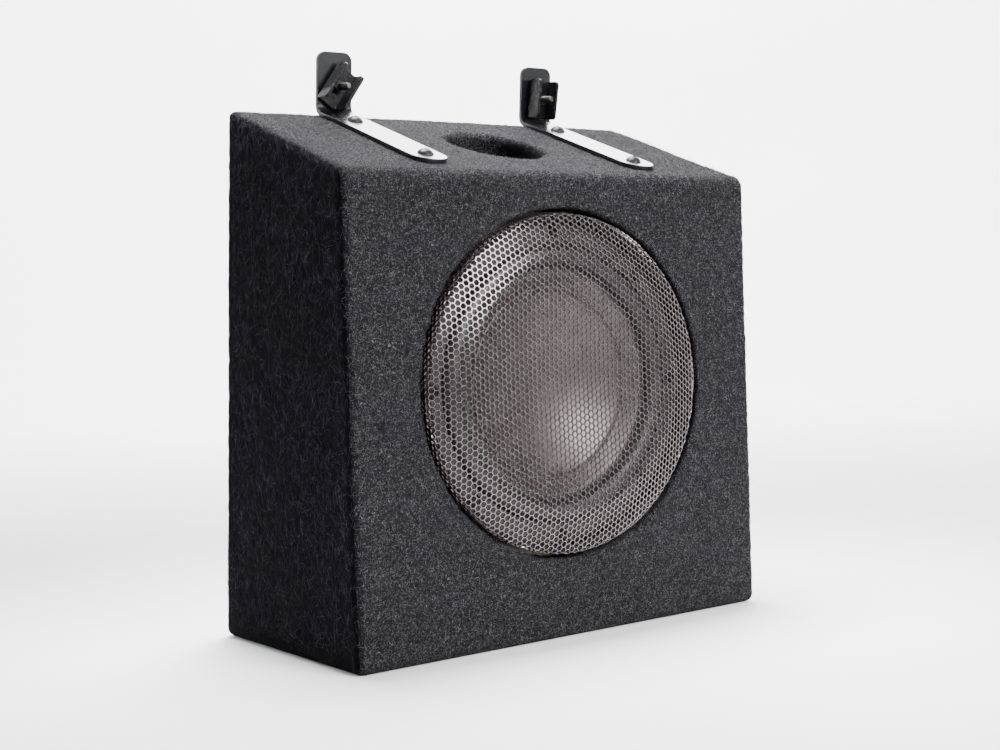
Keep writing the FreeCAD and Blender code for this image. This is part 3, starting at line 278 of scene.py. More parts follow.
# A darker copy of the carpet fibre: painted shade for the strands on the sides.
SHADED_SIDE_FIBRE = plain_finish("side_fibre_painted_shade", (0.024, 0.024, 0.036), 0.6, 0.9, 0.05, 300, 0.01)
BLACK_PAINT = plain_finish("satin_black_paint", (0.0035, 0.0035, 0.0042), 0.1, 0.27, 0.03, 900, 0.008,
                           Specular_IOR_Level=0.25)
BRACKET_PAINT = plain_finish("bracket_paint", (0.0055, 0.0057, 0.007), 0.1, 0.25, 0.02, 900, 0.008,
                             Specular_IOR_Level=0.4)
GRILLE_PAINT = plain_finish("grille_paint", (0.115, 0.100, 0.103), 0.12, 0.2, 0.06, 1200, 0.006,
                            Metallic=0.8)
CONE_FINISH = plain_finish("cone_satin", (0.105, 0.089, 0.088), 0.1, 0.35, 0.04, 700, 0.02,
                           Metallic=0.75)
ROLL_RUBBER = plain_finish("surround_rubber", (0.014, 0.0135, 0.014), 0.2, 0.42, 0.06, 900, 0.02)
FOAM = plain_finish("foam", (0.02, 0.02, 0.021), 0.4, 0.9, 0.05, 1500, 0.15)
BLACK_PLASTIC = plain_finish("black_plastic", (0.018, 0.018, 0.019), 0.2, 0.5, 0.08, 1800, 0.02)
SCREW_BLACK = plain_finish("screw_black", (0.007, 0.007, 0.008), 0.3, 0.42, 0.08, 1500, 0.01,
                           Specular_IOR_Level=0.22)
DARK_ZINC = plain_finish("dark_zinc", (0.042, 0.039, 0.037), 0.3, 0.38, 0.1, 1200, 0.02, Metallic=0.9)
STEEL = plain_finish("plated_steel", (0.5, 0.5, 0.5), 0.15, 0.35, 0.08, 700, 0.01, Metallic=0.95)
FERRITE = plain_finish("ferrite", (0.05, 0.05, 0.053), 0.25, 0.65, 0.08, 600, 0.05)
ANODISED = plain_finish("anodised_aluminium", (0.035, 0.035, 0.037), 0.2, 0.42, 0.07, 1600, 0.02,
                        stretch=(1, 1, 0.2), Metallic=0.5)
BOARD = fibreboard_finish("fibreboard")
CIRCUIT = circuit_finish("circuit_board")
COPPER = winding_finish("copper_winding", (0.72, 0.33, 0.16))
GOLD = plain_finish("gold_plate", (0.83, 0.62, 0.25), 0.08, 0.22, 0.05, 800, 0.005, Metallic=1.0)
SLEEVE = plain_finish("capacitor_sleeve", (0.02, 0.025, 0.06), 0.2, 0.3, 0.05, 600, 0.01)
WADDING = plain_finish("wadding", (0.72, 0.70, 0.66), 0.15, 0.95, 0.03, 260, 1.0, Sheen_Weight=0.6)
CLOTH = plain_finish("spider_cloth", (0.50, 0.34, 0.15), 0.25, 0.8, 0.05, 1400, 0.12)
FILM = plain_finish("former_film", (0.55, 0.30, 0.10), 0.1, 0.3, 0.05, 500, 0.01)
LENS = plain_finish("light_lens", (0.35, 0.015, 0.01), 0.1, 0.12, 0.03, 500, 0.003, Coat_Weight=0.6)
FUSE_AMBER = plain_finish("fuse_amber", (0.75, 0.28, 0.02), 0.1, 0.2, 0.04, 500, 0.005, Coat_Weight=0.4)
WIRE = plain_finish("wire_jacket", (0.22, 0.01, 0.01), 0.15, 0.45, 0.05, 900, 0.01)
FLOOR = floor_finish("studio_floor")


# ---- making pieces --------------------------------------------------------------------------------------
WELD = 0.001 * MM
CAD_WELD = 0.005 * MM
FLAT_WITHIN = math.radians(0.8)
SHARP_FROM = math.radians(28)


def piece_from(name, mesh, material, body, slot, *nodes):
    """An object of the scene from a mesh, riding on a body and standing for CAD nodes."""
    piece = bpy.data.objects.new(name, mesh)
    bpy.context.scene.collection.objects.link(piece)
    mesh.materials.clear()
    mesh.materials.append(material)
    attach(piece, body)
    if nodes:
        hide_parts(*nodes)
    return piece


def mesh_from(bm, name, smooth_angle):
    """A mesh from a bmesh, smooth but for edges sharper than an angle in degrees."""
    mesh = bpy.data.meshes.new(name)
    bm.normal_update()
    bm.to_mesh(mesh)
    bm.free()
    mesh.shade_smooth()
    mesh.set_sharp_from_angle(angle=math.radians(smooth_angle))
    return mesh


def bridge(bm, rings, ring_closed=True, comes_round=False):
    """Faces from each ring of points to the next, and from the last to the first where it comes round."""
    followers = rings[1:] + rings[:1] if comes_round else rings[1:]
    for ring, following in zip(rings, followers):
        count = len(ring)
        for index in range(count if ring_closed else count - 1):
            other = (index + 1) % count
            bm.faces.new((ring[index], ring[other], following[other], following[index]))


def flat_faced(node):
    """The CAD node's mesh with the triangles of each flat face joined."""
    bm = bmesh.new()
    bm.from_mesh(NODES[node].data)
    bmesh.ops.remove_doubles(bm, verts=bm.verts, dist=CAD_WELD)
    bmesh.ops.dissolve_limit(bm, angle_limit=FLAT_WITHIN, verts=bm.verts, edges=bm.edges)
    return bm


def ease(bm, edges, width, segments):
    """Rounds edges, to a width in millimetres."""
    bmesh.ops.bevel(bm, geom=edges, offset=width * MM, segments=segments, affect="EDGES", profile=0.5,
                    clamp_overlap=True)


def softened(node, name, width, material, body, slot, segments=2):
    """The CAD node's shape with its sharp edges rounded, to a width in millimetres."""
    bm = flat_faced(node)
    sharp = [edge for edge in bm.edges if edge.is_manifold and edge.calc_face_angle() > SHARP_FROM]
    ease(bm, sharp, width, segments)
    piece = piece_from(name, mesh_from(bm, name, smooth_angle=40), material, body, slot, node)
    even = piece.modifiers.new("even_shading", "WEIGHTED_NORMAL")
    even.keep_sharp = True


def arc(centre, radius, start, stop, steps):
    """Points of an arc in the (radius, height) plane, its angles in degrees."""
    angles = [math.radians(start + (stop - start) * step / steps) for step in range(steps + 1)]
    return [(centre[0] + radius * math.cos(angle), centre[1] + radius * math.sin(angle))
            for angle in angles]


def cap_radius(half_chord, rise):
    """The radius of the circle that rises so far over a chord."""
    return (half_chord ** 2 + rise ** 2) / (2 * rise)


def dish(sphere, middle_height, reaches):
    """Points of a shallow dish in the (radius, height) plane, at the radii in reaches."""
    return [(reach, middle_height + sphere - math.sqrt(sphere ** 2 - reach ** 2)) for reach in reaches]


def rounded_path(points, radii, steps):
    """A path of (radius, height) points with its inner corners turned into arcs."""
    path = [points[0]]
    for before, corner, after, radius in zip(points, points[1:], points[2:], radii):
        middle = Vector(corner)
        back = (Vector(before) - middle).normalized()
        ahead = (Vector(after) - middle).normalized()
        half = math.acos(max(-1.0, min(1.0, back.dot(ahead)))) / 2
        reach = radius / math.tan(half)
        centre = middle + (back + ahead).normalized() * (radius / math.sin(half))
        start = middle + back * reach - centre
        turn = start.angle_signed(middle + ahead * reach - centre)
        for step in range(steps + 1):
            spoke = Matrix.Rotation(-turn * step / steps, 2) @ start
            path.append(tuple(centre + spoke))
    path.append(points[-1])
    return path


def turned(name, profile, material, body, slot, node, segments=192, start=0.0, stop=math.tau):
    """A piece turned about the driver's axis from a closed profile in millimetres, whole or a sector."""
    bm = bmesh.new()
    whole = stop - start == math.tau
    rings = []
    for step in range(segments + (not whole)):
        angle = start + (stop - start) * step / segments
        rings.append([bm.verts.new(on_driver_axis(radius * MM, angle, height * MM))
                      for radius, height in profile])
    bridge(bm, rings, comes_round=whole)
    bmesh.ops.remove_doubles(bm, verts=bm.verts, dist=WELD)
    bmesh.ops.recalc_face_normals(bm, faces=bm.faces)
    return piece_from(name, mesh_from(bm, name, smooth_angle=50), material, body, slot, node)


# ---- carpeted cabinet -----------------------------------------------------------------------------------
VOXEL = 1.9 * MM
EDGE_ROUND = 6 * MM
MOUTH_RADIUS = 119.3 * MM
MOUTH_DEPTH = 17.5 * MM
MOUTH_FLARE = 3 * MM
VENT_DOWN = 78.5 * MM
VENT_RADIUS = 34 * MM
VENT_DEPTH = 14.5 * MM
VENT_FLARE = 6 * MM
RECESS_DEPTH = 4 * MM
RECESS_GAP = 0.1 * MM
CUTTER_ABOVE = 20 * MM
CUTTER_SEGMENTS = 128


def solid_object(bm, name):
    """A bmesh as an object that boolean modifiers can use."""
    bmesh.ops.recalc_face_normals(bm, faces=bm.faces)
    mesh = bpy.data.meshes.new(name)
    bm.to_mesh(mesh)
    bm.free()
    item = bpy.data.objects.new(name, mesh)
    bpy.context.scene.collection.objects.link(item)
    return item


def wedge():
    """The cabinet's outside with rounded edges."""
    outline = [(FRONT_Y, 0), (BACK_Y, 0), (EDGE_Y, TOP_Z), (FRONT_Y, FRONT_TOP_Z)]
    bm = bmesh.new()
    left = [bm.verts.new((-HALF_WIDTH, y, z)) for y, z in outline]
    right = [bm.verts.new((HALF_WIDTH, y, z)) for y, z in outline]
    bm.faces.new(left)
    bm.faces.new(right[::-1])
    bridge(bm, [left, right])
    bmesh.ops.bevel(bm, geom=bm.edges[:], offset=EDGE_ROUND, segments=5, affect="EDGES", profile=0.5)
    return solid_object(bm, "wedge")


def round_cutter(radius, depth, flare, to_place):
    """A drill with a flared rim that leaves a rolled edge round the hole. to_place maps (x, y, height)."""
    turns = [math.radians(15 * step) for step in range(6)]
    profile = [(0, -depth), (radius, -depth)]
    profile += [(radius + flare * (1 - math.cos(turn)), flare * (math.sin(turn) - 1)) for turn in turns]
    profile += [(radius + flare, CUTTER_ABOVE), (0, CUTTER_ABOVE)]
    bm = bmesh.new()
    rings = []
    for step in range(CUTTER_SEGMENTS):
        angle = math.tau * step / CUTTER_SEGMENTS
        rings.append([bm.verts.new(to_place(reach * math.cos(angle), reach * math.sin(angle), height))
                      for reach, height in profile])
    bridge(bm, rings, ring_closed=False, comes_round=True)
    bmesh.ops.remove_doubles(bm, verts=bm.verts, dist=WELD)
    return solid_object(bm, "cutter")


def mouth_place(x, y, height):
    """From the front's own plane to the frame."""
    return Vector((x, FRONT_Y - height, AXIS_Z + y))


def vent_place(x, y, height):
    """From the sloping top's own plane to the frame."""
    return on_top(VENT_DOWN + y, height, x)


def recess_cutter():
    """The block that opens the right side's carpet for the amplifier."""
    bm = bmesh.new()
    bmesh.ops.create_cube(bm, size=1)
    size = Vector((2 * RECESS_DEPTH, plate_high.y - plate_low.y + 2 * RECESS_GAP,
                   plate_high.z - plate_low.z + 2 * RECESS_GAP))
    middle = Vector((HALF_WIDTH, (plate_low.y + plate_high.y) / 2, (plate_low.z + plate_high.z) / 2))
    to_place = Matrix.Translation(middle) @ Matrix.Diagonal(size).to_4x4()
    bmesh.ops.transform(bm, matrix=to_place, verts=bm.verts)
    return solid_object(bm, "cutter")


def cabinet_skin():
    """One dense mesh of the carpet's outside: wedge, cut, and remeshed into even squares."""
    body = wedge()
    cutters = [round_cutter(MOUTH_RADIUS, MOUTH_DEPTH, MOUTH_FLARE, mouth_place),
               round_cutter(VENT_RADIUS, VENT_DEPTH, VENT_FLARE, vent_place), recess_cutter()]
    for cutter in cutters:
        difference = body.modifiers.new("cut", "BOOLEAN")
        difference.operation = "DIFFERENCE"
        difference.solver = "EXACT"
        difference.object = cutter
    remesh = body.modifiers.new("even", "REMESH")
    remesh.mode = "VOXEL"
    remesh.voxel_size = VOXEL
    bpy.context.view_layer.update()
    done = body.evaluated_get(bpy.context.evaluated_depsgraph_get())
    mesh = bpy.data.meshes.new_from_object(done)
    for item in [body, *cutters]:
        bpy.data.objects.remove(item)
    return mesh


def in_window(point, margin=0.0):
    """True within the amplifier plate's outline and a margin, seen from the side."""
    return (plate_low.y - margin < point.y < plate_high.y + margin
            and plate_low.z - margin < point.z < plate_high.z + margin)


def hole_floor(point):
    """True on the bottoms that the cutters leave inside the mouth, the vent and the amplifier's recess."""
    wall_margin = 0.6 * VOXEL
    mouth_floor = FRONT_Y + MOUTH_DEPTH
    if mouth_floor - VOXEL < point.y < mouth_floor + VOXEL:
        if math.hypot(point.x, point.z - AXIS_Z) < MOUTH_RADIUS - wall_margin:
            return True
    away = point - on_top(VENT_DOWN, -VENT_DEPTH)
    up = Vector((0, -math.sin(TOP_SLOPE), math.cos(TOP_SLOPE)))
    height = away.dot(up)
    if abs(height) < VOXEL and (away - up * height).length < VENT_RADIUS - wall_margin:
        return True
    return in_window(point) and abs(point.x - (HALF_WIDTH - RECESS_DEPTH)) < VOXEL


FELT_RELIEF = ((22, 0.35), (190, 0.38), (430, 0.42))    # waves in a metre, and their height in mm
FELT_SINK = 0.3                                         # in mm
FELT_FOOT = 4 * MM
FELT_OFFSET = Vector((7.1, 3.3, 5.7))


def felted(bm):
    """Moves a skin's points in and out a little, in swells, clumps and tufts. It fades out at the foot."""
    for vert in bm.verts:
        spot = vert.co
        height = sum(noise.noise(spot * waves + FELT_OFFSET) * depth for waves, depth in FELT_RELIEF)
        height -= FELT_SINK
        floor_fade = min(1.0, max(0.0, spot.z / FELT_FOOT))
        vert.co = spot + vert.normal * height * MM * floor_fade


def sheet_at(point):
    """Which carpet sheet a place on the skin belongs to."""
    if point.x < -SEAM_X:
        return "carpet_left"
    if point.x > SEAM_X:
        return "carpet_right"
    if point.z < PILE:
        return "carpet_bottom"
    return "carpet_wrap"


def carpet_sheets():
    """The four carpet sheets, cut from the skin along their seams. Returns them by node name."""
    skin = cabinet_skin()
    whole = bmesh.new()
    whole.from_mesh(skin)
    whole.normal_update()
    bmesh.ops.delete(whole, geom=[face for face in whole.faces if hole_floor(face.calc_center_median())],
                     context="FACES")
    bmesh.ops.smooth_vert(whole, verts=whole.verts, factor=0.5, use_axis_x=True, use_axis_y=True,
                          use_axis_z=True)
    whole.normal_update()
    felted(whole)
    whole.normal_update()
    sheets = {}
    for name in ("carpet_wrap", "carpet_left", "carpet_right", "carpet_bottom"):
        part = whole.copy()
        strangers = [face for face in part.faces if sheet_at(face.calc_center_median()) != name]
        bmesh.ops.delete(part, geom=strangers, context="FACES")
        felt = mesh_from(part, name + "_felt", smooth_angle=80)
        sheets[name] = piece_from(name + "_felt", felt, CARPET, "root", "carpet", name)
    whole.free()
    return sheets


FIBRE_STEPS = 3
FIBRE_TAPER = 0.7
FIBRE_ARCH = 0.25 * MM
FIBRE_OFF_SHEET = 0.05 * MM
FIBRE_HEIGHT_TO_WIDTH = 1.6
FIBRE_WIDTHS = (0.035, 0.075)   # in mm
FIBRE_BEND = 2.2
FIBRE_WAVER = 0.4
FIBRE_HANG = 0.8            # how far down a strand may curl, to its length
UPRIGHT_SPREAD = 0.7
EDGE_MARGIN = MM
FOOT_MARGIN = 2 * MM
FIBRES_FROM = 3 * MM


def strand(bm, spot, along, normal, length, width, lift, bend, rng):
    """One closed, tapering, curling strand that starts at a spot and lies along the sheet."""
    rings = []
    for step in range(FIBRE_STEPS + 1):
        share = step / FIBRE_STEPS
        thin = width * (1 - FIBRE_TAPER * share)
        arch = math.sin(math.pi * share) * FIBRE_ARCH + lift * share * length
        centre = spot + normal * (FIBRE_OFF_SHEET + arch)
        side = along.cross(normal)
        rings.append([bm.verts.new(centre + side * thin), bm.verts.new(centre - side * thin),
                      bm.verts.new(centre + normal * thin * FIBRE_HEIGHT_TO_WIDTH)])
        along.rotate(Quaternion(normal, bend / FIBRE_STEPS + rng.uniform(-FIBRE_WAVER, FIBRE_WAVER)))
        spot = spot + along * length / FIBRE_STEPS
    bridge(bm, rings)
    bm.faces.new(rings[0][::-1])
    bm.faces.new(rings[-1])


def over_the_edge(point):
    """True beyond the sides, front, back or foot of the cabinet."""
    if abs(point.x) > HALF_WIDTH + EDGE_MARGIN or point.z < FOOT_MARGIN:
        return True
    return not FRONT_Y - EDGE_MARGIN < point.y < BACK_Y + EDGE_MARGIN


def fibres(sheet, name, count, wanted, lengths, lifts, upright, material, seed):
    """Loose strands on the part of a sheet whose normals are wanted. Their lengths are in millimetres, and
    their lifts are the slopes at which they leave the sheet. Upright ones run nearer the vertical."""
    rng = random.Random(seed)
    faces = [face for face in sheet.data.polygons
             if wanted(face.normal) and face.center.z > FIBRES_FROM]
    bm = bmesh.new()
    for face in rng.choices(faces, k=count):
        normal = Vector(face.normal)
        start = Vector(face.center)
        if upright:
            along = Vector((0, 0, rng.choice((-1, 1))))
            along = (along - normal * along.dot(normal)).normalized()
            along.rotate(Quaternion(normal, rng.gauss(0, UPRIGHT_SPREAD)))
        else:
            along = normal.orthogonal().normalized()
            along.rotate(Quaternion(normal, rng.uniform(0, math.tau)))
        length = rng.uniform(*lengths) * MM
        if over_the_edge(start + along * length):
            along.negate()
        if over_the_edge(start + along * length) or start.z < FIBRE_HANG * length + FOOT_MARGIN:
            continue
        strand(bm, start, along, normal, length, rng.uniform(*FIBRE_WIDTHS) * MM, rng.choice(lifts),
               rng.uniform(-FIBRE_BEND, FIBRE_BEND), rng)
    piece_from(name, mesh_from(bm, name, smooth_angle=80), material, "root", "carpet")


LYING = (0.02, 0.04, 0.08, 0.25)
STANDING = (0.1, 0.25, 0.45, 0.6)
sheets = carpet_sheets()
# The left and right strands take the darker fibre finish, which is painted shade.
for sheet_name, piece_name, count, wanted, lengths, lifts, upright, material, seed in (
        ("wrap", "front", 9500, lambda n: n.y < -0.7, (1.4, 4.0), LYING, False, FIBRE, 11),
        ("wrap", "top", 9500, lambda n: n.z > 0.5 and n.y > -0.7, (1.0, 2.6), STANDING, False, FIBRE, 12),
        ("wrap", "back", 5000, lambda n: n.y > 0.7, (2.0, 6.0), LYING, False, FIBRE, 13),
        ("left", "left", 4200, lambda n: n.x < 0.5, (5.0, 13.0), LYING, True, SHADED_SIDE_FIBRE, 14),
        ("right", "right", 4200, lambda n: n.x > -0.5, (5.0, 13.0), LYING, True, SHADED_SIDE_FIBRE, 15)):
    fibres(sheets["carpet_" + sheet_name], piece_name + "_fibres", count, wanted, lengths, lifts, upright,
           material, seed)

# ---- grille ---------------------------------------------------------------------------------------------
HEX_PITCH = 4.29            # in millimetres, as all of the grille's and the driver's profiles
HEX_HOLE = 3.39
SHEET = 1.0
HOLE_EDGE = 0.25
HOLE_LEAD_IN = 0.34
RIM_MARGIN = 0.6 * HEX_PITCH


def grille_section():
    """The formed sheet's front surface from the middle outwards: a shallow hollow, a rounded ridge, a
    bevel, a tight shoulder and a skirt that runs back into the mouth."""
    ridge, ridge_height, ridge_round, middle_height = 87.0, 9.0, 14, 5.6
    rim, rim_height, shoulder, skirt = 116.2, 2.4, 2.5, -9.0
    sphere = cap_radius(ridge, ridge_height - middle_height)
    steps = 20
    hollow = dish(sphere, middle_height, [ridge * step / steps for step in range(steps)])
    slope = (ridge_height - rim_height) / (rim - shoulder - ridge)
    corner = (rim, ridge_height - slope * (rim - ridge))
    outer = rounded_path([hollow[-1], (ridge, ridge_height), corner, (rim, skirt)],
                         [ridge_round, shoulder], 8)
    return hollow + outer[1:]


class Path:
    """A profile that can be read by the length along it."""

    def __init__(self, points):
        self.points = [Vector(point) for point in points]
        self.lengths = [0.0]
        for before, after in zip(self.points, self.points[1:]):
            self.lengths.append(self.lengths[-1] + (after - before).length)

    def at(self, length):
        """The point at a length, and the direction out of the sheet's front there."""
        length = min(length, self.lengths[-1])
        index = next(i for i, reach in enumerate(self.lengths[1:]) if length <= reach)
        before, after = self.points[index], self.points[index + 1]
        along = (after - before).normalized()
        spot = before + along * (length - self.lengths[index])
        return spot, Vector((-along.y, along.x))


def hex_grille():
    """The grille: a sheet of hexagonal holes formed over the section, with its holes' edges eased."""
    path = Path(grille_section())
    reach = path.lengths[-1]
    bm = bmesh.new()
    shared = {}

    def vertex(u, v, depth):
        key = (round(u, 3), round(v, 3), round(depth, 3))
        if key not in shared:
            spot, out = path.at(math.hypot(u, v))
            spot = spot - out * depth
            angle = math.atan2(u, v)
            shared[key] = bm.verts.new(on_driver_axis(spot.x * MM, angle, spot.y * MM))
        return shared[key]

    def hexagon(u, v, across, depth):
        corner = across / math.sqrt(3)
        angles = [math.radians(60 * k) for k in range(6)]
        return [vertex(u + corner * math.cos(angle), v + corner * math.sin(angle), depth)
                for angle in angles]

    column_gap = HEX_PITCH * math.sqrt(3) / 2
    columns = int(reach / column_gap) + 1
    rows = int(reach / HEX_PITCH) + 1
    for column in range(-columns, columns + 1):
        for row in range(-rows, rows + 1):
            u = column * column_gap
            v = (row + (0.5 if column % 2 else 0.0)) * HEX_PITCH
            if math.hypot(u, v) > reach - RIM_MARGIN:
                continue
            bridge(bm, [hexagon(u, v, HEX_PITCH, 0.0), hexagon(u, v, HEX_HOLE + HOLE_LEAD_IN, 0.0),
                        hexagon(u, v, HEX_HOLE, HOLE_EDGE), hexagon(u, v, HEX_HOLE, SHEET),
                        hexagon(u, v, HEX_PITCH, SHEET)])
    bmesh.ops.recalc_face_normals(bm, faces=bm.faces)
    name = "grille_hexagon_sheet"
    mesh = mesh_from(bm, name, smooth_angle=32)
    piece_from(name, mesh, GRILLE_PAINT, "root", "grille_metal", "grille_mesh")


hex_grille()

# ---- driver ---------------------------------------------------------------------------------------------
SKIN = 1.3
LIP_HEIGHT = -13.5
SEAT_HEIGHT = -20.0
NECK_RADIUS, NECK_HEIGHT = 26.4, -56.5
CONE_LIP = 79.5


def cone_profile():
    """The cone: a neck, a straight flank, a small step where the bowl is glued, and a turned-out lip."""
    front = rounded_path([(NECK_RADIUS, NECK_HEIGHT), (66.0, SEAT_HEIGHT), (67.6, SEAT_HEIGHT + 0.2),
                          (75.5, LIP_HEIGHT - 0.4), (77.2, LIP_HEIGHT), (CONE_LIP, LIP_HEIGHT)],
                         [0.6, 0.4, 1.2, 0.8], 4)
    back = rounded_path([(CONE_LIP, LIP_HEIGHT - SKIN), (76.5, LIP_HEIGHT - SKIN),
                         (67.0, SEAT_HEIGHT - SKIN), (NECK_RADIUS, NECK_HEIGHT - SKIN)], [1.2, 1.0], 4)
    return front + back


def bowl_profile():
    """The shallow bowl that covers the cone's middle, with a rolled rim."""
    drop, rim, steps = 19.0, 67.0, 30
    front_reach, back_reach = 65.2, 66.2
    sphere = cap_radius(rim, drop)
    edge = SEAT_HEIGHT + 0.1
    front = dish(sphere, edge + SKIN - drop, [front_reach * step / steps for step in range(steps + 1)])
    rim_roll = arc((66.1, front[-1][1] + 0.1), 0.9, 150, -60, 8)
    back = dish(sphere, edge - drop, [back_reach * step / steps for step in range(steps, -1, -1)])
    return front + rim_roll + back


def surround_profile():
    """The rubber half-roll with its two glued flats."""
    outer_roll, inner_roll, rise, rubber = 96.0, 80.0, 7.0, 0.9
    inner_flat, outer_flat, glue_line = 77.2, 98.2, LIP_HEIGHT + 0.05
    half = (outer_roll - inner_roll) / 2
    radius = cap_radius(half, rise)
    middle = (outer_roll + inner_roll) / 2
    foot = LIP_HEIGHT + 0.3
    sweep = math.degrees(math.asin(half / radius))
    drop = foot + rise - radius
    roll = arc((middle, drop), radius, 90 + sweep, 90 - sweep, 20)
    under = arc((middle, drop), radius - rubber, 90 - sweep + 2, 90 + sweep - 2, 20)
    return ([(inner_flat, foot)] + roll + [(outer_flat, foot), (outer_flat, foot - 1.0)] + under
            + [(79.9, foot - rubber), (79.9, glue_line), (inner_flat, glue_line)])


def spider_profile():
    """The spider's disc, with corrugations that fade out at its edges."""
    outer, depth, wave, count, cloth = 54.0, -62.0, 1.5, 3, 0.8
    steps = 48
    front = []
    for step in range(steps + 1):
        share = step / steps
        fade = min(1.0, 6 * share, 6 * (1 - share))
        height = depth + wave * fade * math.sin(math.tau * count * share)
        front.append((NECK_RADIUS + (outer - NECK_RADIUS) * share, height))
    back = [(reach, height - cloth) for reach, height in reversed(front)]
    return front + back


FLEX_SECTORS = 16


def flexing_ring(name, profile, material, slot, node):
    """A ring of sectors that meet, turned about the driver's axis and left without a parent."""
    for number in range(FLEX_SECTORS):
        start = math.tau * number / FLEX_SECTORS
        stop = math.tau * (number + 1) / FLEX_SECTORS
        piece = turned(f"{name}_{number + 1:02d}", profile, material, "root", slot, node,
                       segments=12, start=start, stop=stop)
        piece.parent = None
        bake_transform(piece)


turned("cone_shell", cone_profile(), CONE_FINISH, "cone_body", "cone_material", "cone")
turned("dust_bowl", bowl_profile(), CONE_FINISH, "cone_body", "cone_material", "dust_cap")
flexing_ring("surround_roll", surround_profile(), ROLL_RUBBER, "surround_rubber", "surround")
flexing_ring("spider_disc", spider_profile(), CLOTH, "spider_cloth", "spider")
softened("trim_gasket", "driver_trim", 0.3, ROLL_RUBBER, "root", "foam")
softened("driver_screws", "driver_screw_heads", 0.25, SCREW_BLACK, "root", "dark_screw")

# ---- brackets and clamps --------------------------------------------------------------------------------
for side in ("left", "right"):
    softened(f"bracket_{side}", f"bracket_{side}_bar", 0.5, BRACKET_PAINT, "root", "bracket_paint", 3)
    softened(f"clamp_channel_{side}", f"clamp_{side}_channel", 0.5, BLACK_PAINT, f"clamp_{side}",
             "clamp_paint", 3)
softened("strap_screws", "strap_screw_domes", 0.2, SCREW_BLACK, "root", "dark_screw")
softened("clamp_nuts", "clamp_nuts_chamfered", 0.3, SCREW_BLACK, "root", "zinc")
softened("clamp_washers", "clamp_washers_eased", 0.2, SCREW_BLACK, "root", "zinc")


def stud_thread(name, x):
    """A threaded stud along the clamps' axis, its end domed."""
    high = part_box("clamp_studs")[1]
    plain_radius, radius = 2.5 * MM, 2.46 * MM
    pitch, thread_depth, length = 0.8 * MM, 0.42 * MM, 22.8 * MM
    dome, dome_narrowing = 1.1 * MM, 0.3
    forward = Vector((0, -math.cos(BACK_LEAN), -math.sin(BACK_LEAN)))
    start = Vector((x, high.y - plain_radius * math.sin(BACK_LEAN),
                    high.z - plain_radius * math.cos(BACK_LEAN)))
    across = Vector((1, 0, 0))
    up = across.cross(forward)
    around, steps_per_turn = 20, 8
    rows = int(length / pitch * steps_per_turn)
    bm = bmesh.new()
    rings = []
    for row in range(rows + 1):
        share = row / rows
        ring = []
        for step in range(around):
            turn = step / around
            phase = (share * length / pitch - turn) % 1.0
            cut = abs(2 * phase - 1) * thread_depth
            to_tip = length * (1 - share)
            rounding = max(0.0, 1 - to_tip / dome)
            reach = (radius - cut) * (1 - dome_narrowing * rounding ** 2)
            direction = across * math.cos(math.tau * turn) + up * math.sin(math.tau * turn)
            ring.append(bm.verts.new(start + forward * share * length + direction * reach))
        rings.append(ring)
    bridge(bm, rings)
    bm.faces.new(rings[0][::-1])
    bm.faces.new(rings[-1])
    bmesh.ops.recalc_face_normals(bm, faces=bm.faces)
    piece_from(name, mesh_from(bm, name, smooth_angle=60), DARK_ZINC, "root", "zinc", "clamp_studs")


bracket_middle = sum(corner.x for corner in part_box("bracket_right")) / 2
stud_thread("clamp_stud_left", -bracket_middle)
stud_thread("clamp_stud_right", bracket_middle)

# ---- amplifier ------------------------------------------------------------------------------------------
softened("amp_plate", "amp_plate_finned", 0.25, ANODISED, "root", "amp_metal")
softened("plate_screws", "plate_screw_heads", 0.2, SCREW_BLACK, "root", "dark_screw")
softened("gain_knob", "gain_knob_moulded", 0.3, BLACK_PLASTIC, "gain_knob_body", "control_plastic")
softened("crossover_knob", "crossover_knob_moulded", 0.3, BLACK_PLASTIC, "crossover_knob_body",
         "control_plastic")
softened("phase_switch", "phase_switch_moulded", 0.3, BLACK_PLASTIC, "phase_switch_body", "control_plastic")
softened("power_terminal", "power_block", 0.4, BLACK_PLASTIC, "root", "socket_plastic")
softened("line_jacks", "line_jack_collars", 0.15, GOLD, "root", "gold")
softened("fuse", "fuse_body", 0.4, FUSE_AMBER, "root", "fuse_plastic")

# ---- boards ---------------------------------------------------------------------------------------------
BOARD_EASE = 2.5
WINDOW_CLEAR = 8 * MM
WINDOW_EDGE = MM
BOARD_SHARP = 0.5
TOUCHING = 0.1 * MM
BEHIND_FACE = 3 * MM
SIDEWAYS = 0.5


def eased_board(node):
    """A side board with its outer edges eased, so that its corners stay under the rounded felt. The cut
    faces of the amplifier's window are painted black."""
    bm = flat_faced(node)
    low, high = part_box(node)
    outer = low.x if abs(low.x) > abs(high.x) else high.x
    rim = []
    for edge in bm.edges:
        middle = (edge.verts[0].co + edge.verts[1].co) / 2
        from_face = abs(middle.x - outer)
        on_face = from_face < TOUCHING
        on_corner = from_face > BEHIND_FACE and edge.calc_length() < high.x - low.x + TOUCHING
        if not (on_face or on_corner) or in_window(middle, WINDOW_CLEAR):
            continue
        if edge.is_manifold and edge.calc_face_angle() > BOARD_SHARP:
            rim.append(edge)
    ease(bm, rim, BOARD_EASE, 2)
    mesh = mesh_from(bm, node + "_eased", smooth_angle=40)
    piece = piece_from(node + "_eased", mesh, BOARD, "root", "board", node)
    piece.data.materials.append(BLACK_PAINT)
    for face in piece.data.polygons:
        if outer > 0 and in_window(face.center, WINDOW_EDGE) and abs(face.normal.x) < SIDEWAYS:
            face.material_index = 1


for name in ("left_panel", "right_panel"):
    eased_board(name)

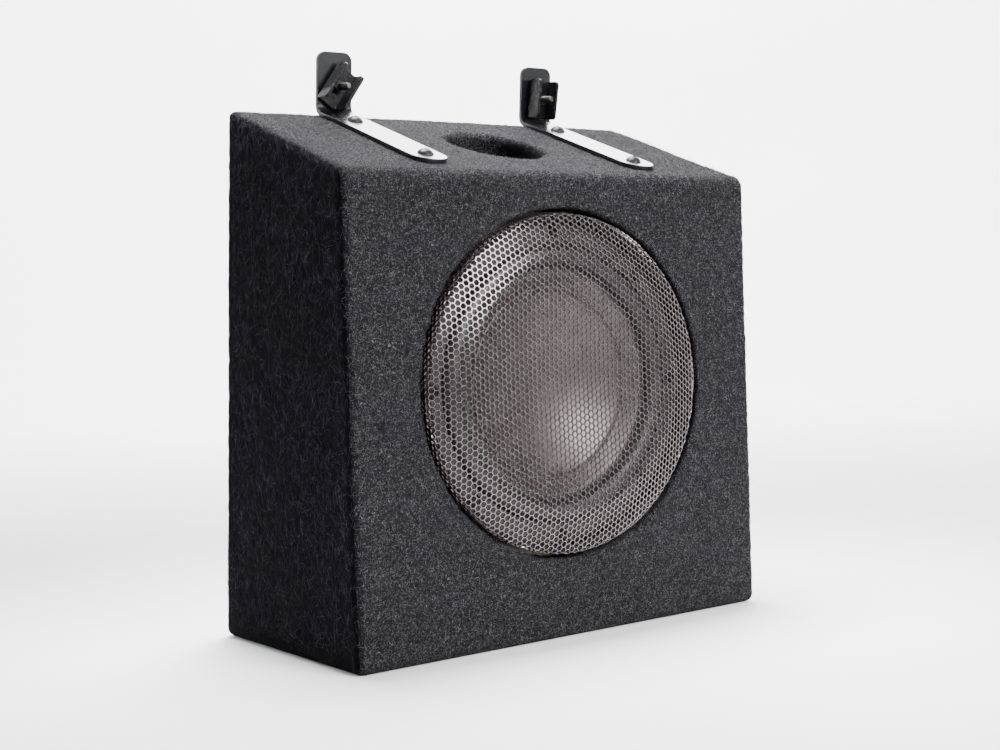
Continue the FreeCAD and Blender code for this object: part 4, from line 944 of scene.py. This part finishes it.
# ---- finishes of the nodes that stay --------------------------------------------------------------------
KEPT = {
    BOARD: "front_panel bottom_panel back_panel top_panel baffle_board",
    BLACK_PLASTIC: "port_tube potentiometers switch_housing remote_socket high_level_socket fuse_holder "
                   "terminal_strip power_transistors",
    WADDING: "damping_pad",
    BLACK_PAINT: "grille_ring driver_basket",
    FOAM: "driver_seal amp_gasket",
    STEEL: "top_plate back_plate terminal_screws",
    FERRITE: "ring_magnet",
    FILM: "coil_former",
    COPPER: "voice_coil toroid_coil",
    ANODISED: "amp_cover heat_spreader",
    CIRCUIT: "circuit_board",
    SLEEVE: "capacitors",
    LENS: "status_light",
    WIRE: "speaker_wires",
}
for material, names in KEPT.items():
    for name in names.split():
        for material_slot in NODES[name].material_slots:
            material_slot.material = material


# ---- studio ---------------------------------------------------------------------------------------------
def studio_floor():
    """A round pale floor that curves up into a wall on every side."""
    reach, bend, rise, around = 2.6, 1.0, 3.4, 96
    centre_disc, half_way = 0.02, 1.0
    profile = [(centre_disc, 0.0), (half_way, 0.0)]
    profile += [(reach + bend * math.sin(turn), bend * (1 - math.cos(turn)))
                for turn in (math.radians(7.5 * step) for step in range(13))]
    profile.append((reach + bend, rise))
    bm = bmesh.new()
    rings = []
    for step in range(around):
        angle = math.tau * step / around
        rings.append([bm.verts.new((out * math.cos(angle), out * math.sin(angle), z))
                      for out, z in profile])
    bridge(bm, rings, ring_closed=False, comes_round=True)
    bm.faces.new([ring[0] for ring in rings])
    bmesh.ops.recalc_face_normals(bm, faces=bm.faces)
    floor = bpy.data.objects.new("studio_floor", mesh_from(bm, "studio_floor", smooth_angle=60))
    floor.data.materials.append(FLOOR)
    bpy.context.scene.collection.objects.link(floor)


def softbox(name, place, aim, size, power, spread=180, colour=(1, 1, 1)):
    """A rectangular light that faces a point, of a power in watts and a spread in degrees."""
    data = bpy.data.lights.new(name, "AREA")
    data.shape = "RECTANGLE"
    data.size, data.size_y = size
    data.energy = power
    data.spread = math.radians(spread)
    data.color = colour
    light = bpy.data.objects.new(name, data)
    light.location = place
    light.rotation_euler = (Vector(aim) - Vector(place)).to_track_quat("-Z", "Y").to_euler()
    bpy.context.scene.collection.objects.link(light)


studio_floor()
softbox("key", place=(0.18, -1.25, 0.78), aim=(0, -0.09, 0.17), size=(0.7, 0.7), power=13, spread=95)
softbox("edge_strip", place=(-0.85, -0.65, 0.62), aim=(0, 0.03, 0.36), size=(0.05, 0.5), power=0.7)
softbox("overhead", place=(0.0, 0.1, 1.05), aim=(0, -0.01, 0.3), size=(0.45, 0.35), power=6.5, spread=60)
softbox("strap_glow", place=(0.95, 0.95, 1.25), aim=(0, 0, 0.36), size=(0.9, 0.9), power=4.2, spread=70,
        colour=(0.95, 0.92, 1.0))
softbox("backdrop_glow", place=(1.2, 1.4, 2.6), aim=(2.2, 2.9, 0.6), size=(2.5, 1.5), power=420)
world = bpy.data.worlds.new("studio_air")
bpy.context.scene.world = world
world.use_nodes = True
background = world.node_tree.nodes["Background"]
background.inputs["Color"].default_value = (1, 1, 1, 1)
background.inputs["Strength"].default_value = 0.12
